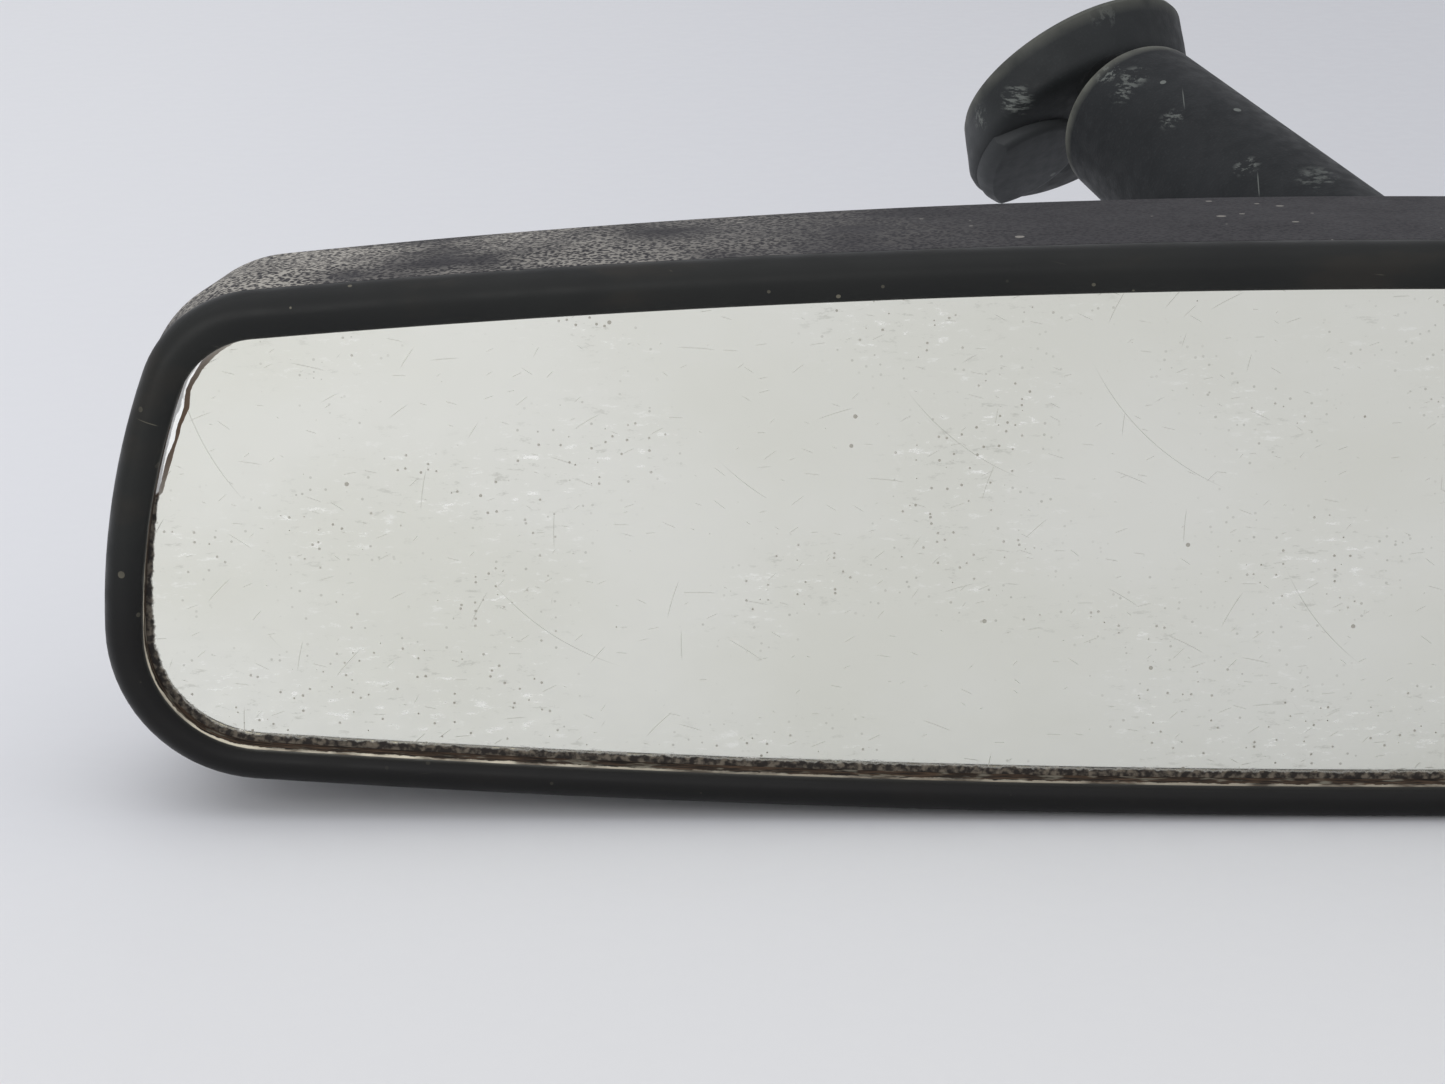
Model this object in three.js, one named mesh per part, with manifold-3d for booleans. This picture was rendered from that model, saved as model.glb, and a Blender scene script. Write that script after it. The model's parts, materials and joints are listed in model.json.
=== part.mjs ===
// Interior rearview mirror: a wide prismatic mirror head on a short ball-jointed arm with a round foot that
// is bonded to the windscreen.
//
// Frame, in millimetres: +X runs along the mirror to the right as the driver sees it, +Y points forward to
// the windscreen and +Z points up. The origin is the centre of the foot's flat bonding face.
// The parts form a chain: foot, foot ball joint, arm, head ball joint, toggle carrier, mirror head, lever.

import * as THREE from 'three';
import { mergeVertices } from 'three/addons/utils/BufferGeometryUtils.js';
import Module from 'manifold-3d';

const wasm = await Module();
wasm.setup();

const RAD = Math.PI / 180;

// Clearance between parts that touch.
const GAP = 0.3;

// How the foot, the arm and the head stand to each other.
const FOOT_RISE = 43;
const FOOT_YAW = 37.5;
const ARM_RISE = 15.6;
const ARM_YAW = 27.5;
const BALL_SPACING = 46.5;
const FOOT_BALL_IN_FOOT = new THREE.Vector3(-3.7, -9, -15.8);
const HEAD_BALL_IN_HEAD = new THREE.Vector3(0, 30, 12.5);

// Mirror head outline, seen from the front: five circular arcs on each side, tangent to each other.
const HEAD_TOP = 28.5;
const HEAD_BOTTOM = -28.3;
const HEAD_HALF_WIDTH = 126.5;
const TOP_ARC_RADIUS = 1300;
const BOTTOM_ARC_RADIUS = 1650;
const SIDE_ARC_RADIUS = 75;
const SIDE_ARC_HEIGHT = -10;
const UPPER_CORNER_RADIUS = 12;
const LOWER_CORNER_RADIUS = 15;

// Mirror head depths, counted back from the bezel's front.
const SEAM_DEPTH = 3;
const HOUSING_DEPTH = 35;
const HOUSING_WALL = 2.1;
const STRAIGHT_DEPTH = 27.5;
const TOP_DRAFT = 4.3;
const BOTTOM_DRAFT = 9.5;
const END_SHALLOWING = 0.37;
const TONGUE_END = 9.6;
const RIM_DEPTH = 10.4;
const TONGUE_INSET = 1.3;

// Glass, foam and backing plate.
const APERTURE_INSET = 3.8;
const APERTURE_LIFT = -0.5;
const GLASS_INSET = 2.5;
const GLASS_FRONT = 1.6;
const GLASS_MEAN_THICKNESS = 3.8;
const GLASS_WEDGE = 0.016;
const FOAM_BACK = 8;
const BACKING_THICKNESS = 1.8;
const BACKING_HOLE_RADIUS = 7.5;
const POST_PLACES = [-104, -66, 66, 104];

// Day and night toggle.
const TOGGLE_Y = 14;
const TOGGLE_Z = 21.5;
const LEVER_Y = 21;
const LEVER_Z = -19.5;
const PIN_RADIUS = 1.5;
const CARRIER_HALF_WIDTH = 21;
const CARRIER_FRONT = 13;
const CARRIER_BACK = 16.6;
const LEVER_HALF_WIDTH = 7;
const LEVER_HUB_RADIUS = 3.6;
const LEVER_REACH = 17;
const LEVER_ANGLE = -26;
const DETENT_BACK = 16.9;
const DETENT_THICKNESS = 0.5;
const DETENT_SCREW_X = 19;
const SCREW_SHANK = 1.1;
const SCREW_HEAD = 2.1;
const LUG_THICKNESS = 3;
const TOGGLE_LUG = { front: 10.6, low: 17.6, high: 26.2 };
const LEVER_LUG = { front: 17.3, low: -24.6, high: -15.6 };
const LUG_BACK = 33.5;
const POST_RADIUS = 3;
const BOSS_RADIUS = 2.6;
const LEVER_SLOT = { front: 18, back: 40, low: -34, high: -21.5 };

// Room for the arm in the housing's back: a rounded opening, wider at the back than at the front.
const OPENING_CORNER = 10.5;
const OPENING_RINGS = [
  { depth: 24, centre: 12, halfWidth: 14, halfHeight: 11.2 },
  { depth: HOUSING_DEPTH, centre: 14.6, halfWidth: 16.4, halfHeight: 13.6 },
  { depth: HOUSING_DEPTH + 5, centre: 15.9, halfWidth: 18, halfHeight: 14.9 },
];

// Ball joints and arm.
const HEAD_BALL_RADIUS = 8;
const FOOT_BALL_RADIUS = 6.5;
const CUP_THICKNESS = 1.5;
const CUP_HALF_ANGLE = 42;
const NECK_RADIUS = 2.8;
const SHANK_RADIUS = 2.2;
const ARM_HEAD_END = -3.5;
const ARM_FOOT_END = 50.8;
const ARM_RADIUS_AT_HEAD = 10.7;
const ARM_RADIUS_AT_FOOT = 8.9;
const SPRING_RADIUS = 4.4;
const SPRING_WIRE = 0.8;
const SPRING_TURNS = 6.5;

// Windscreen foot.
const FOOT_RADIUS = 13.7;
const FOOT_THICKNESS = 6.3;
const FOOT_LEAN = new THREE.Vector2(-0.9, 2.1);
const FOOT_WALL = 1.7;
const PAD_THICKNESS = 0.8;
const PLATE_THICKNESS = 1.6;
const FOOT_PLATE_BACK = -PAD_THICKNESS - GAP - PLATE_THICKNESS;
const SWIVEL_CLEARANCE = 10;
const FOOT_SCREWS = [[7.2, 1.4], [-7.2, 1.4]];
const FOOT_SCREW_SHANK = 1.3;
const FOOT_SCREW_HEAD = 2.3;
const FOOT_BOSS_PLACE = new THREE.Vector2(-8, 6);
const FOOT_BOSS_RADIUS = 7.4;
const FOOT_BOSS_RISE = 1.1;

const COLOURS = {
  bezel: [0x2d2f2f, 0.42, 0],
  housing: [0x53535a, 0.75, 0],
  arm: [0x323537, 0.5, 0],
  plastic: [0x26282a, 0.6, 0],
  glass: [0xd7d9d0, 0.05, 0.9],
  foam: [0x3a3a3c, 0.95, 0],
  steel: [0xa8abad, 0.35, 1],
  zinc: [0x8d9092, 0.5, 1],
  nylon: [0xd9d6cb, 0.6, 0],
  pad: [0x1c1c1e, 0.85, 0],
};

// ---------- geometry helpers ----------

function signedVolume(geometry) {
  const points = geometry.attributes.position;
  const index = geometry.index;
  const a = new THREE.Vector3();
  const b = new THREE.Vector3();
  const c = new THREE.Vector3();
  let sum = 0;
  for (let i = 0; i < index.count; i += 3) {
    a.fromBufferAttribute(points, index.getX(i));
    b.fromBufferAttribute(points, index.getX(i + 1));
    c.fromBufferAttribute(points, index.getX(i + 2));
    sum += a.dot(b.cross(c));
  }
  return sum / 6;
}

// Merges the vertices of a closed geometry and turns its faces outward.
function closed(geometry) {
  geometry.deleteAttribute('normal');
  geometry.deleteAttribute('uv');
  const merged = mergeVertices(geometry, 1e-4);
  const kept = [];
  const index = merged.index;
  const flip = signedVolume(merged) < 0;
  for (let i = 0; i < index.count; i += 3) {
    const [a, b, c] = [index.getX(i), index.getX(i + 1), index.getX(i + 2)];
    if (a !== b && b !== c && c !== a) {
      kept.push(a, flip ? c : b, flip ? b : c);
    }
  }
  merged.setIndex(kept);
  return merged;
}

function toSolid(geometry) {
  const merged = closed(geometry);
  return new wasm.Manifold(new wasm.Mesh({
    numProp: 3,
    vertProperties: new Float32Array(merged.attributes.position.array),
    triVerts: new Uint32Array(merged.index.array),
  }));
}

function toGeometry(solid) {
  const mesh = solid.getMesh();
  const geometry = new THREE.BufferGeometry();
  geometry.setAttribute('position', new THREE.BufferAttribute(mesh.vertProperties, 3));
  geometry.setIndex(new THREE.BufferAttribute(mesh.triVerts, 1));
  return geometry;
}

function joined(first, ...others) {
  return toGeometry(others.reduce((sum, other) => sum.add(toSolid(other)), toSolid(first)));
}

function cut(first, ...tools) {
  return toGeometry(tools.reduce((left, tool) => left.subtract(toSolid(tool)), toSolid(first)));
}

// Closes a ring of an even number of points with a ladder of rungs, each joining two points that mirror
// each other, so that a bowed ring gets an evenly bowed cap.
function capFaces(count) {
  const half = count / 2;
  const reach = Math.floor(half / 2);
  const faces = [];
  for (let i = -reach; i < reach; i += 1) {
    const [a, b, c, d] = [i, i + 1, half - i - 1, half - i].map((k) => (k + count) % count);
    faces.push(...[[a, b, c], [a, c, d]].filter((corners) => new Set(corners).size === 3));
  }
  return faces;
}

// Skins a list of rings that have equal point counts. An endless skin closes its last ring onto its first,
// any other skin gets a cap on each end ring.
function skin(rings, endless = false) {
  const count = rings[0].length;
  const faces = [];
  const spans = endless ? rings.length : rings.length - 1;
  for (let r = 0; r < spans; r += 1) {
    const here = r * count;
    const next = ((r + 1) % rings.length) * count;
    for (let i = 0; i < count; i += 1) {
      const j = (i + 1) % count;
      faces.push(here + i, here + j, next + j, here + i, next + j, next + i);
    }
  }
  if (!endless) {
    const last = (rings.length - 1) * count;
    capFaces(count).forEach(([a, b, c]) => faces.push(a, c, b, last + a, last + b, last + c));
  }
  const geometry = new THREE.BufferGeometry().setFromPoints(rings.flat());
  geometry.setIndex(faces);
  return closed(geometry);
}

// Revolves a profile of [radius, height] pairs about +Z.
function turned(profile, segments = 32) {
  const points = profile.map(([radius, height]) => new THREE.Vector2(radius, height));
  return closed(new THREE.LatheGeometry(points, segments).rotateX(Math.PI / 2));
}

// Extrudes an outline in the YZ plane evenly to both sides of X = 0.
function sideExtrusion(shape, halfWidth, steps = 8) {
  const options = { depth: 2 * halfWidth, bevelEnabled: false, curveSegments: steps };
  const geometry = new THREE.ExtrudeGeometry(shape, options);
  geometry.translate(0, 0, -halfWidth);
  const axes = new THREE.Matrix4().makeBasis(
    new THREE.Vector3(0, 1, 0),
    new THREE.Vector3(0, 0, 1),
    new THREE.Vector3(1, 0, 0),
  );
  return closed(geometry.applyMatrix4(axes));
}

function box(x0, x1, y0, y1, z0, z1) {
  const geometry = new THREE.BoxGeometry(x1 - x0, y1 - y0, z1 - z0);
  return geometry.translate((x0 + x1) / 2, (y0 + y1) / 2, (z0 + z1) / 2);
}

function rodAlongX(radius, x0, x1, y, z, segments = 20) {
  const geometry = new THREE.CylinderGeometry(radius, radius, x1 - x0, segments);
  return geometry.rotateZ(-Math.PI / 2).translate((x0 + x1) / 2, y, z);
}

function rodAlongY(radius, y0, y1, x, z, segments = 20) {
  return new THREE.CylinderGeometry(radius, radius, y1 - y0, segments).translate(x, (y0 + y1) / 2, z);
}

function rodAlongZ(radius, z0, z1, segments = 20) {
  const geometry = new THREE.CylinderGeometry(radius, radius, z1 - z0, segments);
  return geometry.rotateX(Math.PI / 2).translate(0, 0, (z0 + z1) / 2);
}

function arcPoints(centreHeight, radius, fromAngle, toAngle, steps) {
  return Array.from({ length: steps + 1 }, (_, i) => {
    const angle = (fromAngle + ((toAngle - fromAngle) * i) / steps) * RAD;
    return [Math.max(0, radius * Math.sin(angle)), centreHeight + radius * Math.cos(angle)];
  });
}

// ---------- head outline ----------

// The meeting point, left of X = 0, of two circles given by centre and radius.
function leftMeeting(a, radiusA, b, radiusB) {
  const between = b.clone().sub(a);
  const distance = between.length();
  const along = (distance ** 2 + radiusA ** 2 - radiusB ** 2) / (2 * distance);
  const aside = Math.sqrt(radiusA ** 2 - along ** 2);
  between.normalize();
  const middle = a.clone().addScaledVector(between, along);
  const normal = new THREE.Vector2(-between.y, between.x);
  const options = [1, -1].map((side) => middle.clone().addScaledVector(normal, side * aside));
  return options[0].x < options[1].x ? options[0] : options[1];
}

const TOP_CENTRE = new THREE.Vector2(0, HEAD_TOP - TOP_ARC_RADIUS);
const BOTTOM_CENTRE = new THREE.Vector2(0, HEAD_BOTTOM + BOTTOM_ARC_RADIUS);
const SIDE_CENTRE = new THREE.Vector2(SIDE_ARC_RADIUS - HEAD_HALF_WIDTH, SIDE_ARC_HEIGHT);
const UPPER_CORNER = leftMeeting(
  TOP_CENTRE, TOP_ARC_RADIUS - UPPER_CORNER_RADIUS,
  SIDE_CENTRE, SIDE_ARC_RADIUS - UPPER_CORNER_RADIUS,
);
const LOWER_CORNER = leftMeeting(
  BOTTOM_CENTRE, BOTTOM_ARC_RADIUS - LOWER_CORNER_RADIUS,
  SIDE_CENTRE, SIDE_ARC_RADIUS - LOWER_CORNER_RADIUS,
);

// The direction from one point to another, from 0 to a full turn.
function bearing(from, to) {
  return (Math.atan2(to.y - from.y, to.x - from.x) + 2 * Math.PI) % (2 * Math.PI);
}

// Half outline on the left, from top centre to bottom centre, moved inward by inset.
function leftOutline(inset) {
  const topEnd = bearing(TOP_CENTRE, UPPER_CORNER);
  const sideStart = bearing(SIDE_CENTRE, UPPER_CORNER);
  const sideEnd = bearing(SIDE_CENTRE, LOWER_CORNER);
  const bottomStart = bearing(BOTTOM_CENTRE, LOWER_CORNER);
  const arcs = [
    [TOP_CENTRE, TOP_ARC_RADIUS, Math.PI / 2, topEnd, 7],
    [UPPER_CORNER, UPPER_CORNER_RADIUS, topEnd, sideStart, 5],
    [SIDE_CENTRE, SIDE_ARC_RADIUS, sideStart, sideEnd, 3],
    [LOWER_CORNER, LOWER_CORNER_RADIUS, sideEnd, bottomStart, 5],
    [BOTTOM_CENTRE, BOTTOM_ARC_RADIUS, bottomStart, 1.5 * Math.PI, 7],
  ];
  const points = [];
  arcs.forEach(([centre, radius, start, end, steps]) => {
    for (let i = 0; i < steps; i += 1) {
      const angle = start + ((end - start) * i) / steps;
      const x = centre.x + (radius - inset) * Math.cos(angle);
      points.push([x, centre.y + (radius - inset) * Math.sin(angle)]);
    }
  });
  points.push([0, HEAD_BOTTOM + inset]);
  return points;
}

// Full outline as a ring of points at one depth. depthAt may move each point back or forward.
function headRing(inset, depthAt, lift = 0) {
  const left = leftOutline(inset);
  const right = left.slice(1, -1).reverse().map(([x, z]) => [-x, z]);
  return [...left, ...right].map(([x, z]) => new THREE.Vector3(x, depthAt(x, z), z + lift));
}

function flatRing(inset, depth, lift = 0) {
  return headRing(inset, () => depth, lift);
}

// ---------- mirror head ----------

function makeBezel() {
  const seat = GLASS_INSET - GAP;
  const profile = [
    [TONGUE_INSET, SEAM_DEPTH], [0, SEAM_DEPTH], [0, 2.6], [0.35, 1.3], [1.1, 0.4], [2.2, 0], [3.1, 0.2],
    [APERTURE_INSET, 0.8], [APERTURE_INSET, GLASS_FRONT - GAP], [seat, GLASS_FRONT - GAP], [seat, TONGUE_END],
    [TONGUE_INSET, TONGUE_END],
  ];
  const lipInset = 2.6;
  return skin(profile.map(([inset, depth]) => {
    const onLip = inset > lipInset && depth < SEAM_DEPTH;
    return flatRing(inset, depth, onLip ? APERTURE_LIFT : 0);
  }), true);
}

function glassBack(z) {
  return GLASS_FRONT + GLASS_MEAN_THICKNESS + GLASS_WEDGE * z;
}

function makeGlass() {
  return skin([flatRing(GLASS_INSET, GLASS_FRONT), headRing(GLASS_INSET, (x, z) => glassBack(z))]);
}

function makeFoam() {
  const inset = GLASS_INSET + 2;
  return skin([headRing(inset, (x, z) => glassBack(z) + GAP), flatRing(inset, FOAM_BACK)]);
}

function makeBackingPlate() {
  const front = FOAM_BACK + GAP;
  const plate = skin([flatRing(GLASS_INSET, front), flatRing(GLASS_INSET, front + BACKING_THICKNESS)]);
  return cut(plate, alongBack(rodAlongZ(BACKING_HOLE_RADIUS, 0, 20, 28)));
}

// The back grows shallower towards both ends of the head.
function crowned(depth, x) {
  const share = 1 - END_SHALLOWING * (x / HEAD_HALF_WIDTH) ** 2;
  return depth <= RIM_DEPTH ? depth : RIM_DEPTH + (depth - RIM_DEPTH) * share;
}

// One ring of the housing at a depth. Behind the rim, the top and the bottom lean in by their own drafts.
function housingRing(inset, depth) {
  const run = Math.max(0, Math.min(depth, STRAIGHT_DEPTH) - RIM_DEPTH);
  const ring = headRing(inset, (x) => crowned(depth, x));
  const fall = run * Math.tan(TOP_DRAFT * RAD);
  const rise = run * Math.tan(BOTTOM_DRAFT * RAD);
  ring.forEach((p) => {
    const share = p.z > 0 ? fall / HEAD_TOP : rise / -HEAD_BOTTOM;
    p.z *= 1 - share;
    p.x *= 1 - fall / HEAD_HALF_WIDTH;
  });
  return ring;
}

// Rings from the seam to the back, rounded over the last stretch. wall moves the whole skin inward.
function housingRings(wall, front) {
  const rings = [housingRing(wall, front)];
  [RIM_DEPTH, 18, STRAIGHT_DEPTH].forEach((depth) => rings.push(housingRing(wall, depth)));
  const round = HOUSING_DEPTH - STRAIGHT_DEPTH;
  const steps = 4;
  for (let i = 1; i <= steps; i += 1) {
    const angle = (90 * i * RAD) / steps;
    const reach = round - wall;
    rings.push(housingRing(wall + reach * (1 - Math.cos(angle)), STRAIGHT_DEPTH + reach * Math.sin(angle)));
  }
  return rings;
}

function armOpeningRing({ depth, centre, halfWidth, halfHeight }) {
  const steps = 4;
  const points = [];
  [[1, 1], [-1, 1], [-1, -1], [1, -1]].forEach(([sx, sz], quarter) => {
    for (let i = 0; i <= steps; i += 1) {
      const angle = 90 * (quarter + i / steps) * RAD;
      const x = sx * (halfWidth - OPENING_CORNER) + OPENING_CORNER * Math.cos(angle);
      const z = centre + sz * (halfHeight - OPENING_CORNER) + OPENING_CORNER * Math.sin(angle);
      points.push(new THREE.Vector3(x, depth, z));
    }
  });
  return points;
}

// A lug on one side of the head that a pin passes through.
function makeLug(side, nearX, { front, low, high }) {
  const [x0, x1] = [side * nearX, side * (nearX + LUG_THICKNESS)].sort((a, b) => a - b);
  return box(x0, x1, front, LUG_BACK, low, high);
}

// Lugs for both pins, bosses for the detent screws and posts behind the backing plate.
function makeHousingFittings() {
  const pairs = [-1, 1].flatMap((side) => [
    makeLug(side, CARRIER_HALF_WIDTH + 2 * GAP, TOGGLE_LUG),
    makeLug(side, LEVER_HALF_WIDTH + 2 * GAP, LEVER_LUG),
    rodAlongY(BOSS_RADIUS, DETENT_BACK + GAP, HOUSING_DEPTH - 1, side * DETENT_SCREW_X, LEVER_Z, 14),
  ]);
  const postFront = FOAM_BACK + BACKING_THICKNESS + 2 * GAP;
  const posts = POST_PLACES.map((x) => {
    return rodAlongY(POST_RADIUS, postFront, crowned(HOUSING_DEPTH - 1, x), x, 0, 12);
  });
  const within = toSolid(skin(housingRings(0.6, SEAM_DEPTH + GAP)));
  return toGeometry(toSolid(joined(...pairs, ...posts)).intersect(within));
}

function makeHousing() {
  const slot = LEVER_SLOT;
  const slotHalf = LEVER_HALF_WIDTH + 0.8;
  const shell = cut(
    skin(housingRings(0.1, SEAM_DEPTH + GAP)),
    skin([flatRing(TONGUE_INSET - GAP, SEAM_DEPTH - 1), flatRing(TONGUE_INSET - GAP, TONGUE_END + GAP)]),
    skin(housingRings(HOUSING_WALL, SEAM_DEPTH - 1)),
    skin(OPENING_RINGS.map(armOpeningRing)),
    box(-slotHalf, slotHalf, slot.front, slot.back, slot.low, slot.high),
  );
  const screwHoles = [-1, 1].map((side) => {
    return rodAlongY(SCREW_SHANK + GAP, 10, 26, side * DETENT_SCREW_X, LEVER_Z, 12);
  });
  return cut(
    joined(shell, makeHousingFittings()),
    rodAlongX(PIN_RADIUS + GAP, -40, 40, TOGGLE_Y, TOGGLE_Z),
    rodAlongX(PIN_RADIUS + GAP, -15, 15, LEVER_Y, LEVER_Z),
    ...screwHoles,
  );
}

// ---------- toggle ----------

function makeTogglePin() {
  const half = CARRIER_HALF_WIDTH + 3.9;
  return closed(rodAlongX(PIN_RADIUS, -half, half, TOGGLE_Y, TOGGLE_Z));
}

function makeLeverPin() {
  const half = LEVER_HALF_WIDTH + 3.4;
  return closed(rodAlongX(PIN_RADIUS, -half, half, LEVER_Y, LEVER_Z));
}

function makeCarrier() {
  const barrel = rodAlongX(3.1, -CARRIER_HALF_WIDTH, CARRIER_HALF_WIDTH, TOGGLE_Y, TOGGLE_Z, 24);
  const plate = box(-17, 17, CARRIER_FRONT, CARRIER_BACK, -13.8, TOGGLE_Z);
  const foot = box(-5, 5, CARRIER_BACK - 1, 19.1, -13.8, -10.4);
  const ribs = [-15.5, 15.5].map((x) => box(x - 1, x + 1, CARRIER_BACK - 1, 19.6, -8, 17));
  const body = joined(barrel, plate, foot, ...ribs);
  return cut(
    body,
    rodAlongX(PIN_RADIUS + GAP, -30, 30, TOGGLE_Y, TOGGLE_Z),
    rodAlongZ(SHANK_RADIUS + GAP, -10, 10).rotateX(Math.PI / 2).translate(0, 15, HEAD_BALL_IN_HEAD.z),
  );
}

// The lever in its day position: hub, grip pointing back under the housing, and a cam nose that points up.
function makeLever() {
  const grip = new THREE.Shape();
  const half = 1.4;
  grip.moveTo(0, -half);
  grip.lineTo(LEVER_REACH - 1.6, -half);
  grip.absarc(LEVER_REACH - 1.6, 0, half + 0.1, -Math.PI / 2, Math.PI / 2, false);
  grip.lineTo(0, half);
  const arm = sideExtrusion(grip, LEVER_HALF_WIDTH, 6);
  arm.rotateX(LEVER_ANGLE * RAD).translate(0, LEVER_Y, LEVER_Z);
  const hub = rodAlongX(LEVER_HUB_RADIUS, -LEVER_HALF_WIDTH, LEVER_HALF_WIDTH, LEVER_Y, LEVER_Z, 24);
  const nose = box(-4, 4, LEVER_Y - 1.5, LEVER_Y + 1.5, LEVER_Z, LEVER_Z + 5.4);
  const ribs = [11.2, 13, 14.8].map((at) => {
    const rib = rodAlongX(0.55, -LEVER_HALF_WIDTH + 0.8, LEVER_HALF_WIDTH - 0.8, at, -half, 8);
    return rib.rotateX(LEVER_ANGLE * RAD).translate(0, LEVER_Y, LEVER_Z);
  });
  return cut(joined(arm, hub, nose, ...ribs), rodAlongX(PIN_RADIUS + GAP, -20, 20, LEVER_Y, LEVER_Z));
}

// A bowed strip, screwed to the housing at both ends, that presses on the front of the lever's hub.
function makeDetentSpring() {
  const strip = new THREE.Shape();
  const end = DETENT_SCREW_X + 3;
  const front = DETENT_BACK - DETENT_THICKNESS;
  strip.moveTo(-end, front);
  strip.lineTo(-8, front);
  strip.quadraticCurveTo(0, front - 1, 8, front);
  strip.lineTo(end, front);
  strip.lineTo(end, DETENT_BACK);
  strip.lineTo(8, DETENT_BACK);
  strip.quadraticCurveTo(0, DETENT_BACK - 1, -8, DETENT_BACK);
  strip.lineTo(-end, DETENT_BACK);
  const geometry = new THREE.ExtrudeGeometry(strip, { depth: 5.2, bevelEnabled: false, curveSegments: 6 });
  geometry.translate(0, 0, LEVER_Z - 2.6);
  const holes = [-1, 1].map((side) => {
    return rodAlongY(SCREW_SHANK + GAP, 10, 20, side * DETENT_SCREW_X, LEVER_Z, 12);
  });
  return cut(geometry, ...holes);
}

function makeDetentScrew(side) {
  const seat = DETENT_BACK - DETENT_THICKNESS - GAP;
  const profile = [
    [0, seat - 1.5], [1.5, seat - 1.4], [SCREW_HEAD, seat - 0.8], [SCREW_HEAD, seat],
    [SCREW_SHANK, seat], [SCREW_SHANK, seat + 8], [0, seat + 8],
  ];
  const screw = turned(profile, 16).rotateX(-Math.PI / 2);
  const slot = box(-1.7, 1.7, seat - 3, seat - 0.8, -0.3, 0.3);
  return cut(screw, slot).translate(side * DETENT_SCREW_X, 0, LEVER_Z);
}

// ---------- head ball joint ----------

function alongBack(geometry) {
  return geometry.rotateX(-Math.PI / 2).translate(0, 0, HEAD_BALL_IN_HEAD.z);
}

function makeHeadStud() {
  const start = 8.6;
  const flange = [CARRIER_BACK + GAP, CARRIER_BACK + GAP + 2];
  const neckEnd = 22.2;
  const profile = [
    [0, start], [SHANK_RADIUS - 0.4, start], [SHANK_RADIUS, start + 0.4], [SHANK_RADIUS, flange[0]],
    [6.5, flange[0]], [6.5, flange[1]], [NECK_RADIUS, flange[1]], [NECK_RADIUS, neckEnd],
    [SHANK_RADIUS, neckEnd],
    [SHANK_RADIUS, HEAD_BALL_IN_HEAD.y + 3], [0, HEAD_BALL_IN_HEAD.y + 3],
  ];
  return alongBack(turned(profile, 24));
}

function makeHeadBall() {
  const ball = new THREE.SphereGeometry(HEAD_BALL_RADIUS, 24, 14);
  const bore = rodAlongZ(SHANK_RADIUS + GAP, -12, 3 + GAP, 16);
  return alongBack(cut(ball, bore).translate(0, 0, HEAD_BALL_IN_HEAD.y));
}

function makeStudWasher() {
  const back = CARRIER_FRONT - GAP;
  const profile = [[2.5, back - 0.8], [5, back - 0.8], [5, back], [2.5, back], [2.5, back - 0.8]];
  return alongBack(turned(profile, 24));
}

function makeStudNut() {
  const back = CARRIER_FRONT - 2 * GAP - 0.8;
  const hexagon = rodAlongZ(4.6, back - 2.2, back, 6);
  return alongBack(cut(hexagon, rodAlongZ(SHANK_RADIUS + GAP, 0, 20, 20)));
}

// ---------- arm ----------

// A cup is a cap of a hollow sphere around its ball, opening along +Z.
function makeCup(ballRadius) {
  const inner = arcPoints(0, ballRadius + GAP, 0, CUP_HALF_ANGLE, 5);
  const outer = arcPoints(0, ballRadius + GAP + CUP_THICKNESS, CUP_HALF_ANGLE, 0, 5);
  return turned([...inner, ...outer], 24);
}

function makeArmTube() {
  const headBore = HEAD_BALL_RADIUS + GAP;
  const footBore = FOOT_BALL_RADIUS + GAP + 0.1;
  const headLip = Math.acos(ARM_HEAD_END / headBore) / RAD;
  const footLip = Math.acos((ARM_FOOT_END - BALL_SPACING) / footBore) / RAD;
  const edge = 0.9;
  const inside = [
    ...arcPoints(0, headBore, headLip, 90, 4),
    [headBore, 14],
    [footBore, 36],
    ...arcPoints(BALL_SPACING, footBore, 90, footLip, 4),
  ];
  const outside = [
    [ARM_RADIUS_AT_FOOT - edge, ARM_FOOT_END],
    [ARM_RADIUS_AT_FOOT - 0.25 * edge, ARM_FOOT_END - 0.25 * edge],
    [ARM_RADIUS_AT_FOOT, ARM_FOOT_END - edge],
    [ARM_RADIUS_AT_HEAD, ARM_HEAD_END + edge],
    [ARM_RADIUS_AT_HEAD - 0.25 * edge, ARM_HEAD_END + 0.25 * edge],
    [ARM_RADIUS_AT_HEAD - edge, ARM_HEAD_END],
  ];
  return turned([...inside, ...outside, inside[0]], 32);
}

function makeArmSpring() {
  const clear = CUP_THICKNESS + 2 * GAP + SPRING_WIRE;
  const seatHeight = (ballRadius) => Math.sqrt((ballRadius + clear) ** 2 - SPRING_RADIUS ** 2);
  const start = seatHeight(HEAD_BALL_RADIUS);
  const end = BALL_SPACING - seatHeight(FOOT_BALL_RADIUS);
  class Helix extends THREE.Curve {
    getPoint(t) {
      const angle = 2 * Math.PI * SPRING_TURNS * t;
      const height = start + (end - start) * (t - (0.6 * Math.sin(2 * Math.PI * t)) / (2 * Math.PI));
      return new THREE.Vector3(SPRING_RADIUS * Math.cos(angle), SPRING_RADIUS * Math.sin(angle), height);
    }
  }
  const section = new THREE.Shape().absarc(0, 0, SPRING_WIRE, 0, 2 * Math.PI);
  const steps = Math.round(12 * SPRING_TURNS);
  return closed(new THREE.ExtrudeGeometry(section, { steps, curveSegments: 3, extrudePath: new Helix() }));
}

// ---------- foot ----------

function footStudDirection() {
  return FOOT_BALL_IN_FOOT.clone().negate().normalize();
}

// Places a shape built along +Z so that it runs from the foot's ball towards the middle of the base.
function alongFootStud(geometry) {
  const turn = new THREE.Quaternion().setFromUnitVectors(new THREE.Vector3(0, 0, 1), footStudDirection());
  return geometry.applyQuaternion(turn).translate(...FOOT_BALL_IN_FOOT.toArray());
}

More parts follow.
